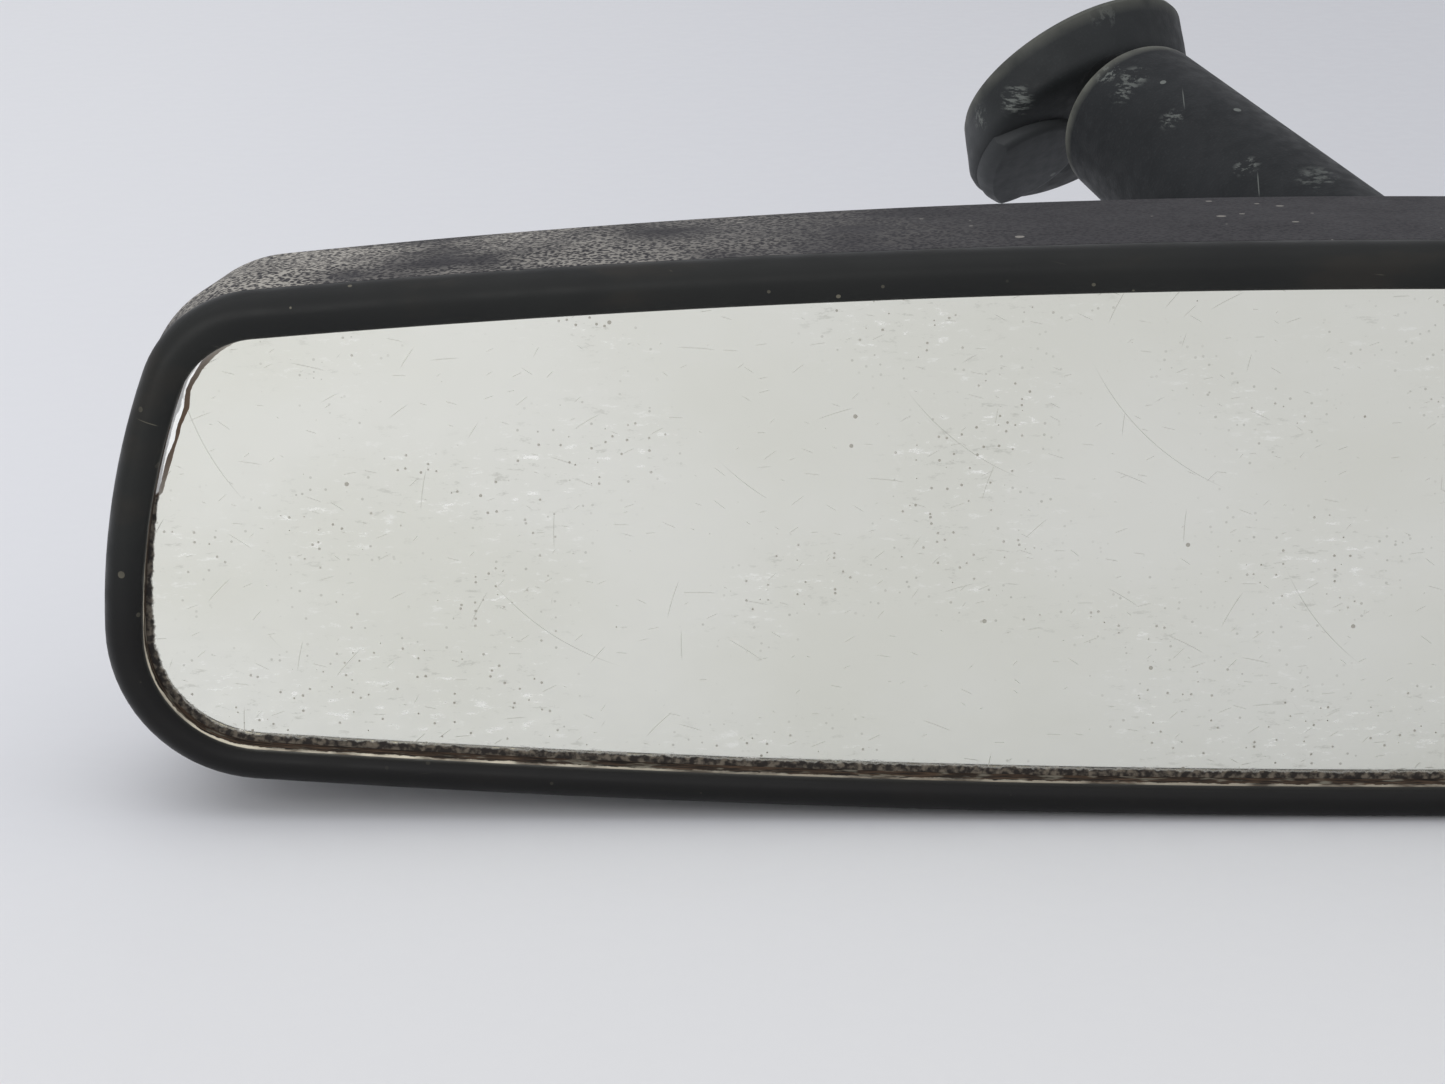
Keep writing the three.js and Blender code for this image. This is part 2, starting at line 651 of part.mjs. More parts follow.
function footRing(radius, height, lean) {
  return Array.from({ length: 40 }, (_, i) => {
    const angle = (2 * Math.PI * i) / 40;
    const x = radius * Math.cos(angle) + FOOT_LEAN.x * lean;
    return new THREE.Vector3(x, radius * Math.sin(angle) + FOOT_LEAN.y * lean, height);
  });
}

function makeFootShell() {
  const rim = 0.6;
  const outer = skin([
    footRing(FOOT_RADIUS - rim, -GAP, 0),
    footRing(FOOT_RADIUS, -GAP - rim, 0.1),
    footRing(FOOT_RADIUS + 0.1, 1.2 - FOOT_THICKNESS, 0.9),
    footRing(FOOT_RADIUS - 0.3, 0.4 - FOOT_THICKNESS, 0.96),
    footRing(FOOT_RADIUS - 1.2, -FOOT_THICKNESS - 0.2, 1),
    footRing(FOOT_RADIUS - 5, -FOOT_THICKNESS - 0.7, 0.9),
  ]);
  const boss = rodAlongZ(FOOT_BOSS_RADIUS, -FOOT_THICKNESS - 0.7 - FOOT_BOSS_RISE, 0.6 - FOOT_THICKNESS, 32);
  const reach = skin([-FOOT_THICKNESS - 4, -1].map((height) => footRing(FOOT_RADIUS - 0.5, height, 1)));
  const raised = toSolid(boss.translate(FOOT_BOSS_PLACE.x, FOOT_BOSS_PLACE.y, 0)).intersect(toSolid(reach));
  const inner = skin([
    footRing(FOOT_RADIUS - FOOT_WALL, 1, 0),
    footRing(FOOT_RADIUS - FOOT_WALL, FOOT_PLATE_BACK - GAP, 0),
    footRing(FOOT_RADIUS - FOOT_WALL - 0.8, FOOT_WALL - FOOT_THICKNESS, 0.7),
  ]);
  return cut(
    joined(outer, toGeometry(raised)),
    inner,
    alongFootStud(rodAlongZ(NECK_RADIUS + GAP, 0, 20)),
    new THREE.SphereGeometry(SWIVEL_CLEARANCE, 32, 24).translate(...FOOT_BALL_IN_FOOT.toArray()),
  );
}

function makeFootPad() {
  return closed(rodAlongZ(FOOT_RADIUS - 2.6, -PAD_THICKNESS, 0, 40));
}

function makeFootPlate() {
  const top = -PAD_THICKNESS - GAP;
  const plate = rodAlongZ(FOOT_RADIUS - FOOT_WALL - 0.6, FOOT_PLATE_BACK, top, 40);
  const holes = FOOT_SCREWS.flatMap(([x, y]) => [
    rodAlongZ(FOOT_SCREW_SHANK + GAP, -5, 0, 16).translate(x, y, 0),
    rodAlongZ(FOOT_SCREW_HEAD + GAP, top - 0.9, 0, 16).translate(x, y, 0),
  ]);
  return cut(plate, ...holes);
}

function makeFootScrew([x, y]) {
  const top = -PAD_THICKNESS - GAP;
  const tip = FOOT_WALL - FOOT_THICKNESS + GAP;
  const profile = [
    [0, tip], [FOOT_SCREW_SHANK - 0.2, tip], [FOOT_SCREW_SHANK, tip + 0.3], [FOOT_SCREW_SHANK, top - 0.6],
    [FOOT_SCREW_HEAD, top - 0.6], [FOOT_SCREW_HEAD, top], [0, top],
  ];
  const slot = box(-3, 3, -0.35, 0.35, top - 0.4, 1);
  return cut(turned(profile, 16), slot).translate(x, y, 0);
}

// The cast core fills the shell and holds the stud at its slant.
function makeFootCore() {
  const top = FOOT_PLATE_BACK - GAP;
  const bottom = FOOT_WALL - FOOT_THICKNESS + GAP;
  const body = skin([
    footRing(FOOT_RADIUS - FOOT_WALL - 0.6, top, 0),
    footRing(FOOT_RADIUS - FOOT_WALL - 1.4, bottom, 0.6),
  ]);
  const holes = FOOT_SCREWS.map(([x, y]) => rodAlongZ(FOOT_SCREW_SHANK + GAP, -20, 0, 16).translate(x, y, 0));
  const socket = alongFootStud(rodAlongZ(NECK_RADIUS + GAP, 0, 30));
  return cut(body, socket, ...holes);
}

function makeFootStud() {
  const shankEnd = footStudLength();
  const neckFrom = Math.acos(NECK_RADIUS / FOOT_BALL_RADIUS) / RAD;
  const profile = [
    ...arcPoints(0, FOOT_BALL_RADIUS, 180, 90 - neckFrom, 12),
    [NECK_RADIUS, shankEnd - 0.4],
    [NECK_RADIUS - 0.4, shankEnd],
    [0, shankEnd],
  ];
  return alongFootStud(turned(profile, 24));
}

// The stud stops short of the plate: its slanted end face keeps clear of it.
function footStudLength() {
  const slant = footStudDirection().z;
  const tip = (FOOT_PLATE_BACK - GAP - FOOT_BALL_IN_FOOT.z) / slant;
  return tip - NECK_RADIUS * Math.tan(Math.acos(slant)) - GAP;
}

// ---------- assembly ----------

function piece(name, geometry, colour) {
  const [color, roughness, metalness] = COLOURS[colour];
  const mesh = new THREE.Mesh(geometry, new THREE.MeshStandardMaterial({ color, roughness, metalness }));
  mesh.name = name;
  return mesh;
}

// A group whose local +Z points along the given rise above the horizon and yaw to the left of +Y.
function aimedGroup(rise, yaw, position) {
  const group = new THREE.Group();
  group.rotation.set((rise - 90) * RAD, 0, yaw * RAD, 'ZYX');
  group.position.copy(position);
  group.updateMatrix();
  return group;
}

const foot = aimedGroup(FOOT_RISE, FOOT_YAW, new THREE.Vector3());
foot.add(
  piece('bonding_pad', makeFootPad(), 'pad'),
  piece('foot_plate', makeFootPlate(), 'steel'),
  piece('foot_core', makeFootCore(), 'zinc'),
  piece('foot_shell', makeFootShell(), 'arm'),
  piece('foot_ball_stud', makeFootStud(), 'steel'),
);
FOOT_SCREWS.forEach((at, i) => foot.add(piece(`foot_screw_${i + 1}`, makeFootScrew(at), 'steel')));

const footBall = FOOT_BALL_IN_FOOT.clone().applyMatrix4(foot.matrix);
const arm = aimedGroup(ARM_RISE, ARM_YAW, footBall);
arm.translateZ(-BALL_SPACING);
arm.updateMatrix();
arm.add(
  piece('arm_tube', makeArmTube(), 'arm'),
  piece('arm_spring', makeArmSpring(), 'steel'),
  piece('head_ball_cup', makeCup(HEAD_BALL_RADIUS), 'nylon'),
  piece('foot_ball_cup', makeCup(FOOT_BALL_RADIUS).rotateX(Math.PI).translate(0, 0, BALL_SPACING), 'nylon'),
);

const head = new THREE.Group();
head.position.copy(arm.position).sub(HEAD_BALL_IN_HEAD);
head.add(
  piece('bezel', makeBezel(), 'bezel'),
  piece('mirror_glass', makeGlass(), 'glass'),
  piece('glass_foam', makeFoam(), 'foam'),
  piece('backing_plate', makeBackingPlate(), 'plastic'),
  piece('rear_housing', makeHousing(), 'housing'),
  piece('toggle_pin', makeTogglePin(), 'steel'),
  piece('toggle_carrier', makeCarrier(), 'plastic'),
  piece('day_night_lever', makeLever(), 'plastic'),
  piece('lever_pin', makeLeverPin(), 'steel'),
  piece('detent_spring', makeDetentSpring(), 'steel'),
  piece('detent_screw_left', makeDetentScrew(-1), 'steel'),
  piece('detent_screw_right', makeDetentScrew(1), 'steel'),
  piece('head_ball_stud', makeHeadStud(), 'steel'),
  piece('head_ball', makeHeadBall(), 'steel'),
  piece('stud_washer', makeStudWasher(), 'steel'),
  piece('stud_nut', makeStudNut(), 'steel'),
);

const mirror = new THREE.Group();
mirror.add(foot, arm, head);

export default mirror;
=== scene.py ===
"""Looks of an interior rearview mirror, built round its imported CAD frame.

The row frame is in metres, +Z up, and the glass faces -Y. Shapes are worked out in millimetres, in the
coordinates of the head, the arm or the foot, and placed by the HEAD, ARM and FOOT matrices.
"""

import json
import math
import bmesh
import bpy
from mathutils import Matrix, Vector


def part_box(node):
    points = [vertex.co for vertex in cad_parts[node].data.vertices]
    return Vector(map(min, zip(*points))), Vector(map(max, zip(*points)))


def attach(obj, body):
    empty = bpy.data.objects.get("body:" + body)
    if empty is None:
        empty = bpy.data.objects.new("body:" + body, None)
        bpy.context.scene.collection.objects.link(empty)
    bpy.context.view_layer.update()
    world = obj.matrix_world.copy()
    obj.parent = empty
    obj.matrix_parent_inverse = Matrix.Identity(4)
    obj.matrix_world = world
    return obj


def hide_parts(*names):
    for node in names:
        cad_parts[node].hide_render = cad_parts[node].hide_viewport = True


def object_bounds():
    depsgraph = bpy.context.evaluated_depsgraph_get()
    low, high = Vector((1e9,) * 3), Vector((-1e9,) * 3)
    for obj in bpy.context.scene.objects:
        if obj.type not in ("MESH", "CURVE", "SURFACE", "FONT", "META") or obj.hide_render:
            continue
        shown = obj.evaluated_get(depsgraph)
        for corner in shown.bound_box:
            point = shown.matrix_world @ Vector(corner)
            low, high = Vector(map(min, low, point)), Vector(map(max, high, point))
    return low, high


MM = 0.001
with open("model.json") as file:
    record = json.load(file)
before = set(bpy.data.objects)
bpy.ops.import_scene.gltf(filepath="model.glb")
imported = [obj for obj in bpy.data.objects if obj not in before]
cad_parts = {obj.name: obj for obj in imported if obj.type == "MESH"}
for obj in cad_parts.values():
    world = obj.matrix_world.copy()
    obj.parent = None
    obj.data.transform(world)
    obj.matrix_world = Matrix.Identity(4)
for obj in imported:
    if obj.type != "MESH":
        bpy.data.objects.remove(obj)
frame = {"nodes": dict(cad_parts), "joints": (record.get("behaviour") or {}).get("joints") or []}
cad_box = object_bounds()

# ---------------------------------------------------------------- places

bezel_low, bezel_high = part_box("bezel")
JOINTS = {joint["name"]: Vector(joint["pos_m"]) for joint in frame["joints"]}
HEAD_BALL = JOINTS["head_tilt"]
FOOT_BALL = JOINTS["foot_tilt"]

# Head outline: five tangent arcs on each side. Head coordinates are x across, z up and y back from the front.
HEAD_TOP, HEAD_BOTTOM, HALF_WIDTH = 28.5, -28.3, 126.5
TOP_R, BOTTOM_R, SIDE_R, SIDE_Z = 1300.0, 1650.0, 75.0, -10.0
UPPER_R, LOWER_R = 12.0, 15.0
APERTURE_INSET, APERTURE_LIFT = 3.8, -0.5
SEAM, RIM, STRAIGHT, BACK = 3.0, 10.4, 27.5, 35.0
TOP_DRAFT, BOTTOM_DRAFT, SHALLOWING = 4.3, 9.5, 0.37
WALL = 2.1
TONGUE_INSET, TONGUE_END = 1.3, 9.6
SEAT_INSET, LIP_CREST, LIP_ROLL, LIP_DISH = 2.2, 2.2, 2.6, 0.95
SILVER_DEPTH, GLASS_BACK = 3.4, 5.3
GLASS_INSET, GLASS_CHAMFER = 2.6, 0.25
STRIP_FOOT, STRIP_LENGTH, STRIP_RIGHT = 2.5, 16.5, -110
GAP = 0.3

# Opening for the arm in the housing's back: depth, centre height, half width and half height of its rings.
OPENING = (
    (24, 12, 14, 11.2),
    (34.0, 14.3, 16.1, 13.3),
    (34.4, 14.45, 16.25, 13.45),
    (34.75, 14.6, 16.6, 13.8),
    (35.0, 14.7, 17.3, 14.5),
    (40, 15.9, 19, 16),
)
LEVER_SLOT = ((-7.8, 18, -34), (7.8, 40, -21.5))

# Arm cone: its radii and bores at the head end and the foot end, counted along it from the head ball.
HEAD_END, FOOT_END = -3.5, 50.8
HEAD_END_R, FOOT_END_R = 10.7, 8.9
HEAD_BORE, FOOT_BORE = 8.3, 6.9
BALL_SPACING = 46.5
ARM_EDGE = 0.8

# Foot cover: a disc that leans as it thickens, with a low round boss below and a hollow above.
FOOT_RISE, FOOT_YAW = 43.0, 37.5
FOOT_R, FOOT_WALL = 13.7, 1.7
FOOT_UNDERSIDE = -7.0
FOOT_LEAN = (-0.9, 2.1)
BOSS_PLACE, BOSS_R, BOSS_RISE, BOSS_EDGE = (-8, 6), 7.4, 1.1, 0.9
SCOOP_R, STUD_BORE_R = 10.0, 3.1

HEAD = Matrix.Translation((
    (bezel_low.x + bezel_high.x) / 2,
    bezel_low.y,
    bezel_high.z - HEAD_TOP * MM,
)) @ Matrix.Scale(MM, 4)


def aimed(place, direction):
    """Local +Z (mm) along a direction, local +X level and to the right of it."""
    z = direction.normalized()
    x = z.cross(Vector((0, 0, 1))).normalized()
    turn = Matrix((x, z.cross(x), z)).transposed().to_4x4()
    return Matrix.Translation(place) @ turn @ Matrix.Scale(MM, 4)


ARM = aimed(HEAD_BALL, FOOT_BALL - HEAD_BALL)
FOOT = (
    Matrix.Rotation(math.radians(FOOT_YAW), 4, "Z")
    @ Matrix.Rotation(math.radians(FOOT_RISE - 90), 4, "X")
    @ Matrix.Scale(MM, 4)
)

# ---------------------------------------------------------------- meshes


def mesh_object(name, points, faces, place, sharp=35.0):
    mesh = bpy.data.meshes.new(name)
    mesh.from_pydata([place @ Vector(p) for p in points], [], faces)
    bm = bmesh.new()
    bm.from_mesh(mesh)
    bmesh.ops.remove_doubles(bm, verts=bm.verts, dist=1e-7)
    bmesh.ops.recalc_face_normals(bm, faces=bm.faces)
    bm.to_mesh(mesh)
    bm.free()
    mesh.shade_smooth()
    mesh.set_sharp_from_angle(angle=math.radians(sharp))
    obj = bpy.data.objects.new(name, mesh)
    bpy.context.scene.collection.objects.link(obj)
    return obj


def ladder(count):
    """Quads that close a ring of an even count, each rung joining two mirrored points."""
    half, reach = count // 2, count // 4
    quads = []
    for i in range(-reach, reach):
        corners = [k % count for k in (i, i + 1, half - i - 1, half - i)]
        quads.append(tuple(dict.fromkeys(corners)))
    return quads


def skin(rings, endless=False):
    """Points and faces of a skin over rings of equal count, capped at both ends or closed onto itself."""
    count = len(rings[0])
    faces = []
    for r in range(len(rings) if endless else len(rings) - 1):
        here, there = r * count, (r + 1) % len(rings) * count
        for i in range(count):
            j = (i + 1) % count
            faces.append((here + i, here + j, there + j, there + i))
    if not endless:
        last = (len(rings) - 1) * count
        faces += [tuple(reversed(f)) for f in ladder(count)]
        faces += [tuple(last + k for k in f) for f in ladder(count)]
    return [p for ring in rings for p in ring], faces


def circle(radius, height, count=96, centre=(0, 0)):
    turn = 2 * math.pi / count
    return [
        (centre[0] + radius * math.cos(turn * i), centre[1] + radius * math.sin(turn * i), height)
        for i in range(count)
    ]


def steps_between(start, end, steps):
    return [start + (end - start) * i / steps for i in range(steps + 1)]


def arc(cx, cy, rx, ry, start, end, steps):
    """Points on an ellipse's arc, angles in degrees."""
    angles = [math.radians(a) for a in steps_between(start, end, steps)]
    return [(cx + rx * math.cos(a), cy + ry * math.sin(a)) for a in angles]


def boolean(obj, *tools, operation="DIFFERENCE"):
    for tool in tools:
        modifier = obj.modifiers.new("cut", "BOOLEAN")
        modifier.object = tool
        modifier.operation = operation
        modifier.solver = "EXACT"
    applied(obj)
    for tool in tools:
        bpy.data.objects.remove(tool)
    return obj


def applied(obj):
    graph = bpy.context.evaluated_depsgraph_get()
    mesh = bpy.data.meshes.new_from_object(obj.evaluated_get(graph))
    obj.modifiers.clear()
    obj.data = mesh
    return obj


def resharpen(obj, sharp=35.0):
    obj.data.shade_smooth()
    obj.data.set_sharp_from_angle(angle=math.radians(sharp))
    return obj


# ---------------------------------------------------------------- head outline


def left_meeting(a, ra, b, rb):
    """The left one of the two meeting points of two circles."""
    between = b - a
    d = between.length
    along = (d * d + ra * ra - rb * rb) / (2 * d)
    aside = math.sqrt(ra * ra - along * along)
    n = between / d
    middle = a + n * along
    side = Vector((-n.y, n.x)) * aside
    return min(middle + side, middle - side, key=lambda p: p.x)


TOP_C = Vector((0, HEAD_TOP - TOP_R))
BOTTOM_C = Vector((0, HEAD_BOTTOM + BOTTOM_R))
SIDE_C = Vector((SIDE_R - HALF_WIDTH, SIDE_Z))
UPPER_C = left_meeting(TOP_C, TOP_R - UPPER_R, SIDE_C, SIDE_R - UPPER_R)
LOWER_C = left_meeting(BOTTOM_C, BOTTOM_R - LOWER_R, SIDE_C, SIDE_R - LOWER_R)


def bearing(a, b):
    return math.atan2(b.y - a.y, b.x - a.x) % (2 * math.pi)


def outline(inset):
    """Closed outline moved inward by inset, from top centre round by the left."""
    top_end = bearing(TOP_C, UPPER_C)
    side_start, side_end = bearing(SIDE_C, UPPER_C), bearing(SIDE_C, LOWER_C)
    bottom_start = bearing(BOTTOM_C, LOWER_C)
    arcs = [
        (TOP_C, TOP_R, math.pi / 2, top_end, 30),
        (UPPER_C, UPPER_R, top_end, side_start, 18),
        (SIDE_C, SIDE_R, side_start, side_end, 14),
        (LOWER_C, LOWER_R, side_end, bottom_start, 18),
        (BOTTOM_C, BOTTOM_R, bottom_start, 1.5 * math.pi, 30),
    ]
    left = []
    for centre, radius, start, end, steps in arcs:
        for i in range(steps):
            angle = start + (end - start) * i / steps
            reach = radius - inset
            left.append((centre.x + reach * math.cos(angle), centre.y + reach * math.sin(angle)))
    left.append((0, HEAD_BOTTOM + inset))
    right = [(-x, z) for x, z in reversed(left[1:-1])]
    return left + right


def head_ring(inset, depth, lift=0.0):
    depth_at = depth if callable(depth) else lambda x, z: depth
    return [(x, depth_at(x, z), z + lift) for x, z in outline(inset)]


def crowned(depth, x):
    share = 1 - SHALLOWING * (x / HALF_WIDTH) ** 2
    return depth if depth <= RIM else RIM + (depth - RIM) * share


def housing_ring(inset, depth):
    run = max(0.0, min(depth, STRAIGHT) - RIM)
    fall = run * math.tan(math.radians(TOP_DRAFT))
    rise = run * math.tan(math.radians(BOTTOM_DRAFT))
    points = []
    for x, _, z in head_ring(inset, 0):
        share = fall / HEAD_TOP if z > 0 else rise / -HEAD_BOTTOM
        points.append((x * (1 - fall / HALF_WIDTH), crowned(depth, x), z * (1 - share)))
    return points


def housing_rings(wall, front):
    depths = [12.4, 15, 18, 21, 24, STRAIGHT]
    rings = [housing_ring(wall, front), housing_ring(wall, 7.5), housing_ring(wall, RIM)]
    rings += [housing_ring(wall, d) for d in depths]
    reach = BACK - STRAIGHT - wall
    steps = 12
    for i in range(1, steps + 1):
        a = math.radians(90 * i / steps)
        rings.append(housing_ring(wall + reach * (1 - math.cos(a)), STRAIGHT + reach * math.sin(a)))
    return rings


# ---------------------------------------------------------------- material kit


def tone(r, g, b):
    """A display tone (0 to 255) as linear colour."""
    def linear(v):
        v /= 255
        return v / 12.92 if v <= 0.04045 else ((v + 0.055) / 1.055) ** 2.4
    return (linear(r), linear(g), linear(b), 1.0)


class Shade:
    """A node material with its coordinates in millimetres."""

    def __init__(self, name):
        self.material = bpy.data.materials.new(name)
        self.material.use_nodes = True
        self.tree = self.material.node_tree
        self.surface = self.tree.nodes["Principled BSDF"]
        self.place = self.add("ShaderNodeTexCoord").outputs["Object"]
        self.mm = self.vector("SCALE", self.place, scale=1 / MM)

    def add(self, kind, inputs=None, **settings):
        made = self.tree.nodes.new(kind)
        for key, value in settings.items():
            setattr(made, key, value)
        for key, value in (inputs or {}).items():
            self.put(made.inputs[key], value)
        return made

    def put(self, socket, value):
        if isinstance(value, bpy.types.NodeSocket):
            self.tree.links.new(value, socket)
        else:
            socket.default_value = value

    def set(self, **inputs):
        for key, value in inputs.items():
            self.put(self.surface.inputs[key.replace("_", " ")], value)
        return self

    def vector(self, operation, a, b=None, scale=None):
        made = self.add("ShaderNodeVectorMath", {0: a}, operation=operation)
        if b is not None:
            self.put(made.inputs[1], b)
        if scale is not None:
            self.put(made.inputs["Scale"], scale)
        return made.outputs["Value" if operation in ("DOT_PRODUCT", "LENGTH", "DISTANCE") else "Vector"]

    def calc(self, operation, a, b=0.0, c=0.0, clamp=False):
        return self.add("ShaderNodeMath", {0: a, 1: b, 2: c}, operation=operation, use_clamp=clamp).outputs[0]

    def ramp(self, value, low, high, out_low=0.0, out_high=1.0):
        """Smooth step from out_low at low to out_high at high."""
        return self.add(
            "ShaderNodeMapRange",
            {"Value": value, "From Min": low, "From Max": high, "To Min": out_low, "To Max": out_high},
            interpolation_type="SMOOTHSTEP",
        ).outputs["Result"]

    def noise(self, size, detail=2.0, stretch=(1, 1, 1), shift=0.0, rough=0.5):
        """Noise with features about size millimetres across, longer along an axis with a small stretch."""
        at = self.vector("MULTIPLY", self.mm, stretch)
        at = self.vector("ADD", at, (shift, shift * 0.7, shift * 1.3))
        return self.add(
            "ShaderNodeTexNoise",
            {"Vector": at, "Scale": 1 / size, "Detail": detail, "Roughness": rough},
        ).outputs["Fac"]

    def cells(self, size, stretch=(1, 1, 1), shift=0.0):
        at = self.vector("MULTIPLY", self.mm, stretch)
        at = self.vector("ADD", at, (shift, shift * 0.7, shift * 1.3))
        made = self.add("ShaderNodeTexVoronoi", {"Vector": at, "Scale": 1 / size})
        return made, at

    def specks(self, size, radius, share, stretch=(1, 1, 1), shift=0.0):
        """Round specks: one in some of the cells, each of its own size."""
        made, _ = self.cells(size, stretch, shift)
        parts = self.add("ShaderNodeSeparateColor", {0: made.outputs["Color"]})
        reach = self.calc("MULTIPLY", parts.outputs[1], radius / size)
        near = self.calc("LESS_THAN", made.outputs["Distance"], reach)
        return self.calc("MULTIPLY", near, self.calc("LESS_THAN", parts.outputs[0], share))

    def scratches(self, size, length, width, share, lean=0.0, spread=math.pi, shift=0.0):
        """Straight hair scratches in the XZ plane: one in some cells, each at its own angle about lean."""
        made, at = self.cells(size, (1, 0.02, 1), shift)
        parts = self.add("ShaderNodeSeparateColor", {0: made.outputs["Color"]})
        off = self.vector("SUBTRACT", at, made.outputs["Position"])
        split = self.add("ShaderNodeSeparateXYZ", {0: off})
        x, z = split.outputs[0], split.outputs[2]
        angle = self.calc("MULTIPLY_ADD", parts.outputs[0], spread, lean - spread / 2)
        cosine, sine = self.calc("COSINE", angle), self.calc("SINE", angle)
        along = self.calc("ADD", self.calc("MULTIPLY", x, cosine), self.calc("MULTIPLY", z, sine))
        across = self.calc("SUBTRACT", self.calc("MULTIPLY", z, cosine), self.calc("MULTIPLY", x, sine))
        bend = self.calc("MULTIPLY", self.calc("MULTIPLY", along, along), 0.02)
        across = self.calc("ABSOLUTE", self.calc("ADD", across, bend))
        reach = self.calc("MULTIPLY", parts.outputs[1], length / 2)
        left = self.calc("SUBTRACT", reach, self.calc("ABSOLUTE", along))
        inside = self.ramp(left, 0.0, length * 0.2)
        thin = self.ramp(across, width * 0.4, width, 1.0, 0.0)
        mask = self.calc("MULTIPLY", inside, thin)
        return self.calc("MULTIPLY", mask, self.calc("LESS_THAN", parts.outputs[2], share))

    def patch(self, place, radius, soft=0.6):
        """1 at a point (row frame, mm), falling to 0 at radius."""
        return self.ramp(self.vector("DISTANCE", self.mm, place), radius * (1 - soft), radius, 1.0, 0.0)

    def upward(self, low, high):
        """0 to 1 as the surface faces further up, with the piece at rest."""
        normal = self.add("ShaderNodeTexCoord").outputs["Normal"]
        return self.ramp(self.add("ShaderNodeSeparateXYZ", {0: normal}).outputs[2], low, high)

    def attribute(self, name):
        return self.add("ShaderNodeAttribute", attribute_name=name).outputs["Fac"]

    def axes(self):
        """The x, y and z of a point in the row frame, in millimetres."""
        return self.add("ShaderNodeSeparateXYZ", {0: self.mm}).outputs

    def mix(self, share, a, b):
        """Colour a passing into colour b; 6, 7 and output 2 are the Mix node's colour sockets."""
        return self.add("ShaderNodeMix", {0: share, 6: a, 7: b}, data_type="RGBA").outputs[2]

    def most(self, *masks):
        out = masks[0]
        for mask in masks[1:]:
            out = self.calc("MAXIMUM", out, mask)
        return out

    def bump(self, height, strength, reach=0.1):
        """Bump with its height in units of reach millimetres."""
        made = self.add("ShaderNodeBump", {"Height": height, "Strength": strength, "Distance": reach * MM})
        self.put(self.surface.inputs["Normal"], made.outputs[0])
        return self


# ---------------------------------------------------------------- materials


def bezel_material():
    """Dark ring with brown smears, specks of dust and, along the lip, settled dirt."""
    s = Shade("bezel_plastic")
    broad = s.noise(18, 3)
    base = s.mix(s.ramp(broad, 0.3, 0.7), tone(26, 27, 27), tone(31, 32, 31))
    smear = s.ramp(s.noise(5, 4, (0.35, 1, 1), 31), 0.52, 0.7, 0.0, 0.5)
    base = s.mix(smear, base, tone(42, 39, 35))
    dust = s.most(
        s.specks(1.3, 0.3, 0.2, shift=5),
        s.specks(3.4, 0.36, 0.25, shift=11),
        s.calc("MULTIPLY", s.scratches(7, 3.0, 0.06, 0.25, 0.0, 0.9, 3), 0.7),
    )
    dust = s.calc("MULTIPLY", dust, s.ramp(s.noise(9, 2, shift=17), 0.42, 0.62))
    base = s.mix(s.calc("MULTIPLY", dust, 0.7), base, tone(116, 112, 98))
    x, y, z = s.axes()
    # Painted shade: the ring darkens towards its bottom edge, standing in for less light reaching the lower
    # roll.
    base = s.mix(s.ramp(z, -28, -40, 0.0, 0.8), base, tone(18, 17, 17))
    # Dirt settled where the lip meets the glass: a pale line at the lip, brown streaks behind it.
    behind = s.calc("SUBTRACT", y, bezel_low.y / MM)
    wall = s.calc("MULTIPLY", s.attribute("lip"), s.ramp(behind, 1.05, 1.3))
    streak = s.noise(1.1, 4, (0.35, 4.5, 0.35), 7, 0.65)
    brown = s.mix(s.ramp(streak, 0.4, 0.66), tone(27, 24, 22), tone(84, 68, 55))
    brown = s.mix(s.ramp(s.noise(2.4, 3, (1, 2, 1), 23), 0.55, 0.7, 0.0, 0.7), brown, tone(128, 124, 112))
    base = s.mix(wall, base, brown)
    ragged = s.calc("MULTIPLY_ADD", s.noise(1.4, 5, shift=41, rough=0.7), 1.6, 0.9)
    line = s.calc("MULTIPLY", s.ramp(s.calc("SUBTRACT", behind, ragged), 0.0, 0.18, 1.0, 0.0), wall)
    line = s.calc("MULTIPLY", line, s.ramp(z, -24, -44))
    line = s.calc("MULTIPLY", line, s.ramp(x, -78, -30, 1.0, 0.4))
    line = s.calc("MULTIPLY", line, s.ramp(s.noise(5, 4, shift=61), 0.36, 0.56, 0.15, 1.0))
    base = s.mix(line, base, tone(222, 214, 196))
    rough = s.ramp(s.noise(2.5, 4, (0.5, 1, 1), 2), 0.3, 0.7, 0.36, 0.5)
    s.set(Base_Color=base, Roughness=s.calc("MAXIMUM", rough, s.calc("MULTIPLY", wall, 0.85)))
    s.set(Specular_IOR_Level=0.17)
    fine = s.calc("ADD", s.noise(0.35, 3), s.calc("MULTIPLY", dust, 0.9))
    crust = s.calc("MULTIPLY", s.calc("MULTIPLY", wall, streak), 1.5)
    return s.bump(s.calc("ADD", fine, crust), 0.22, 0.06).material


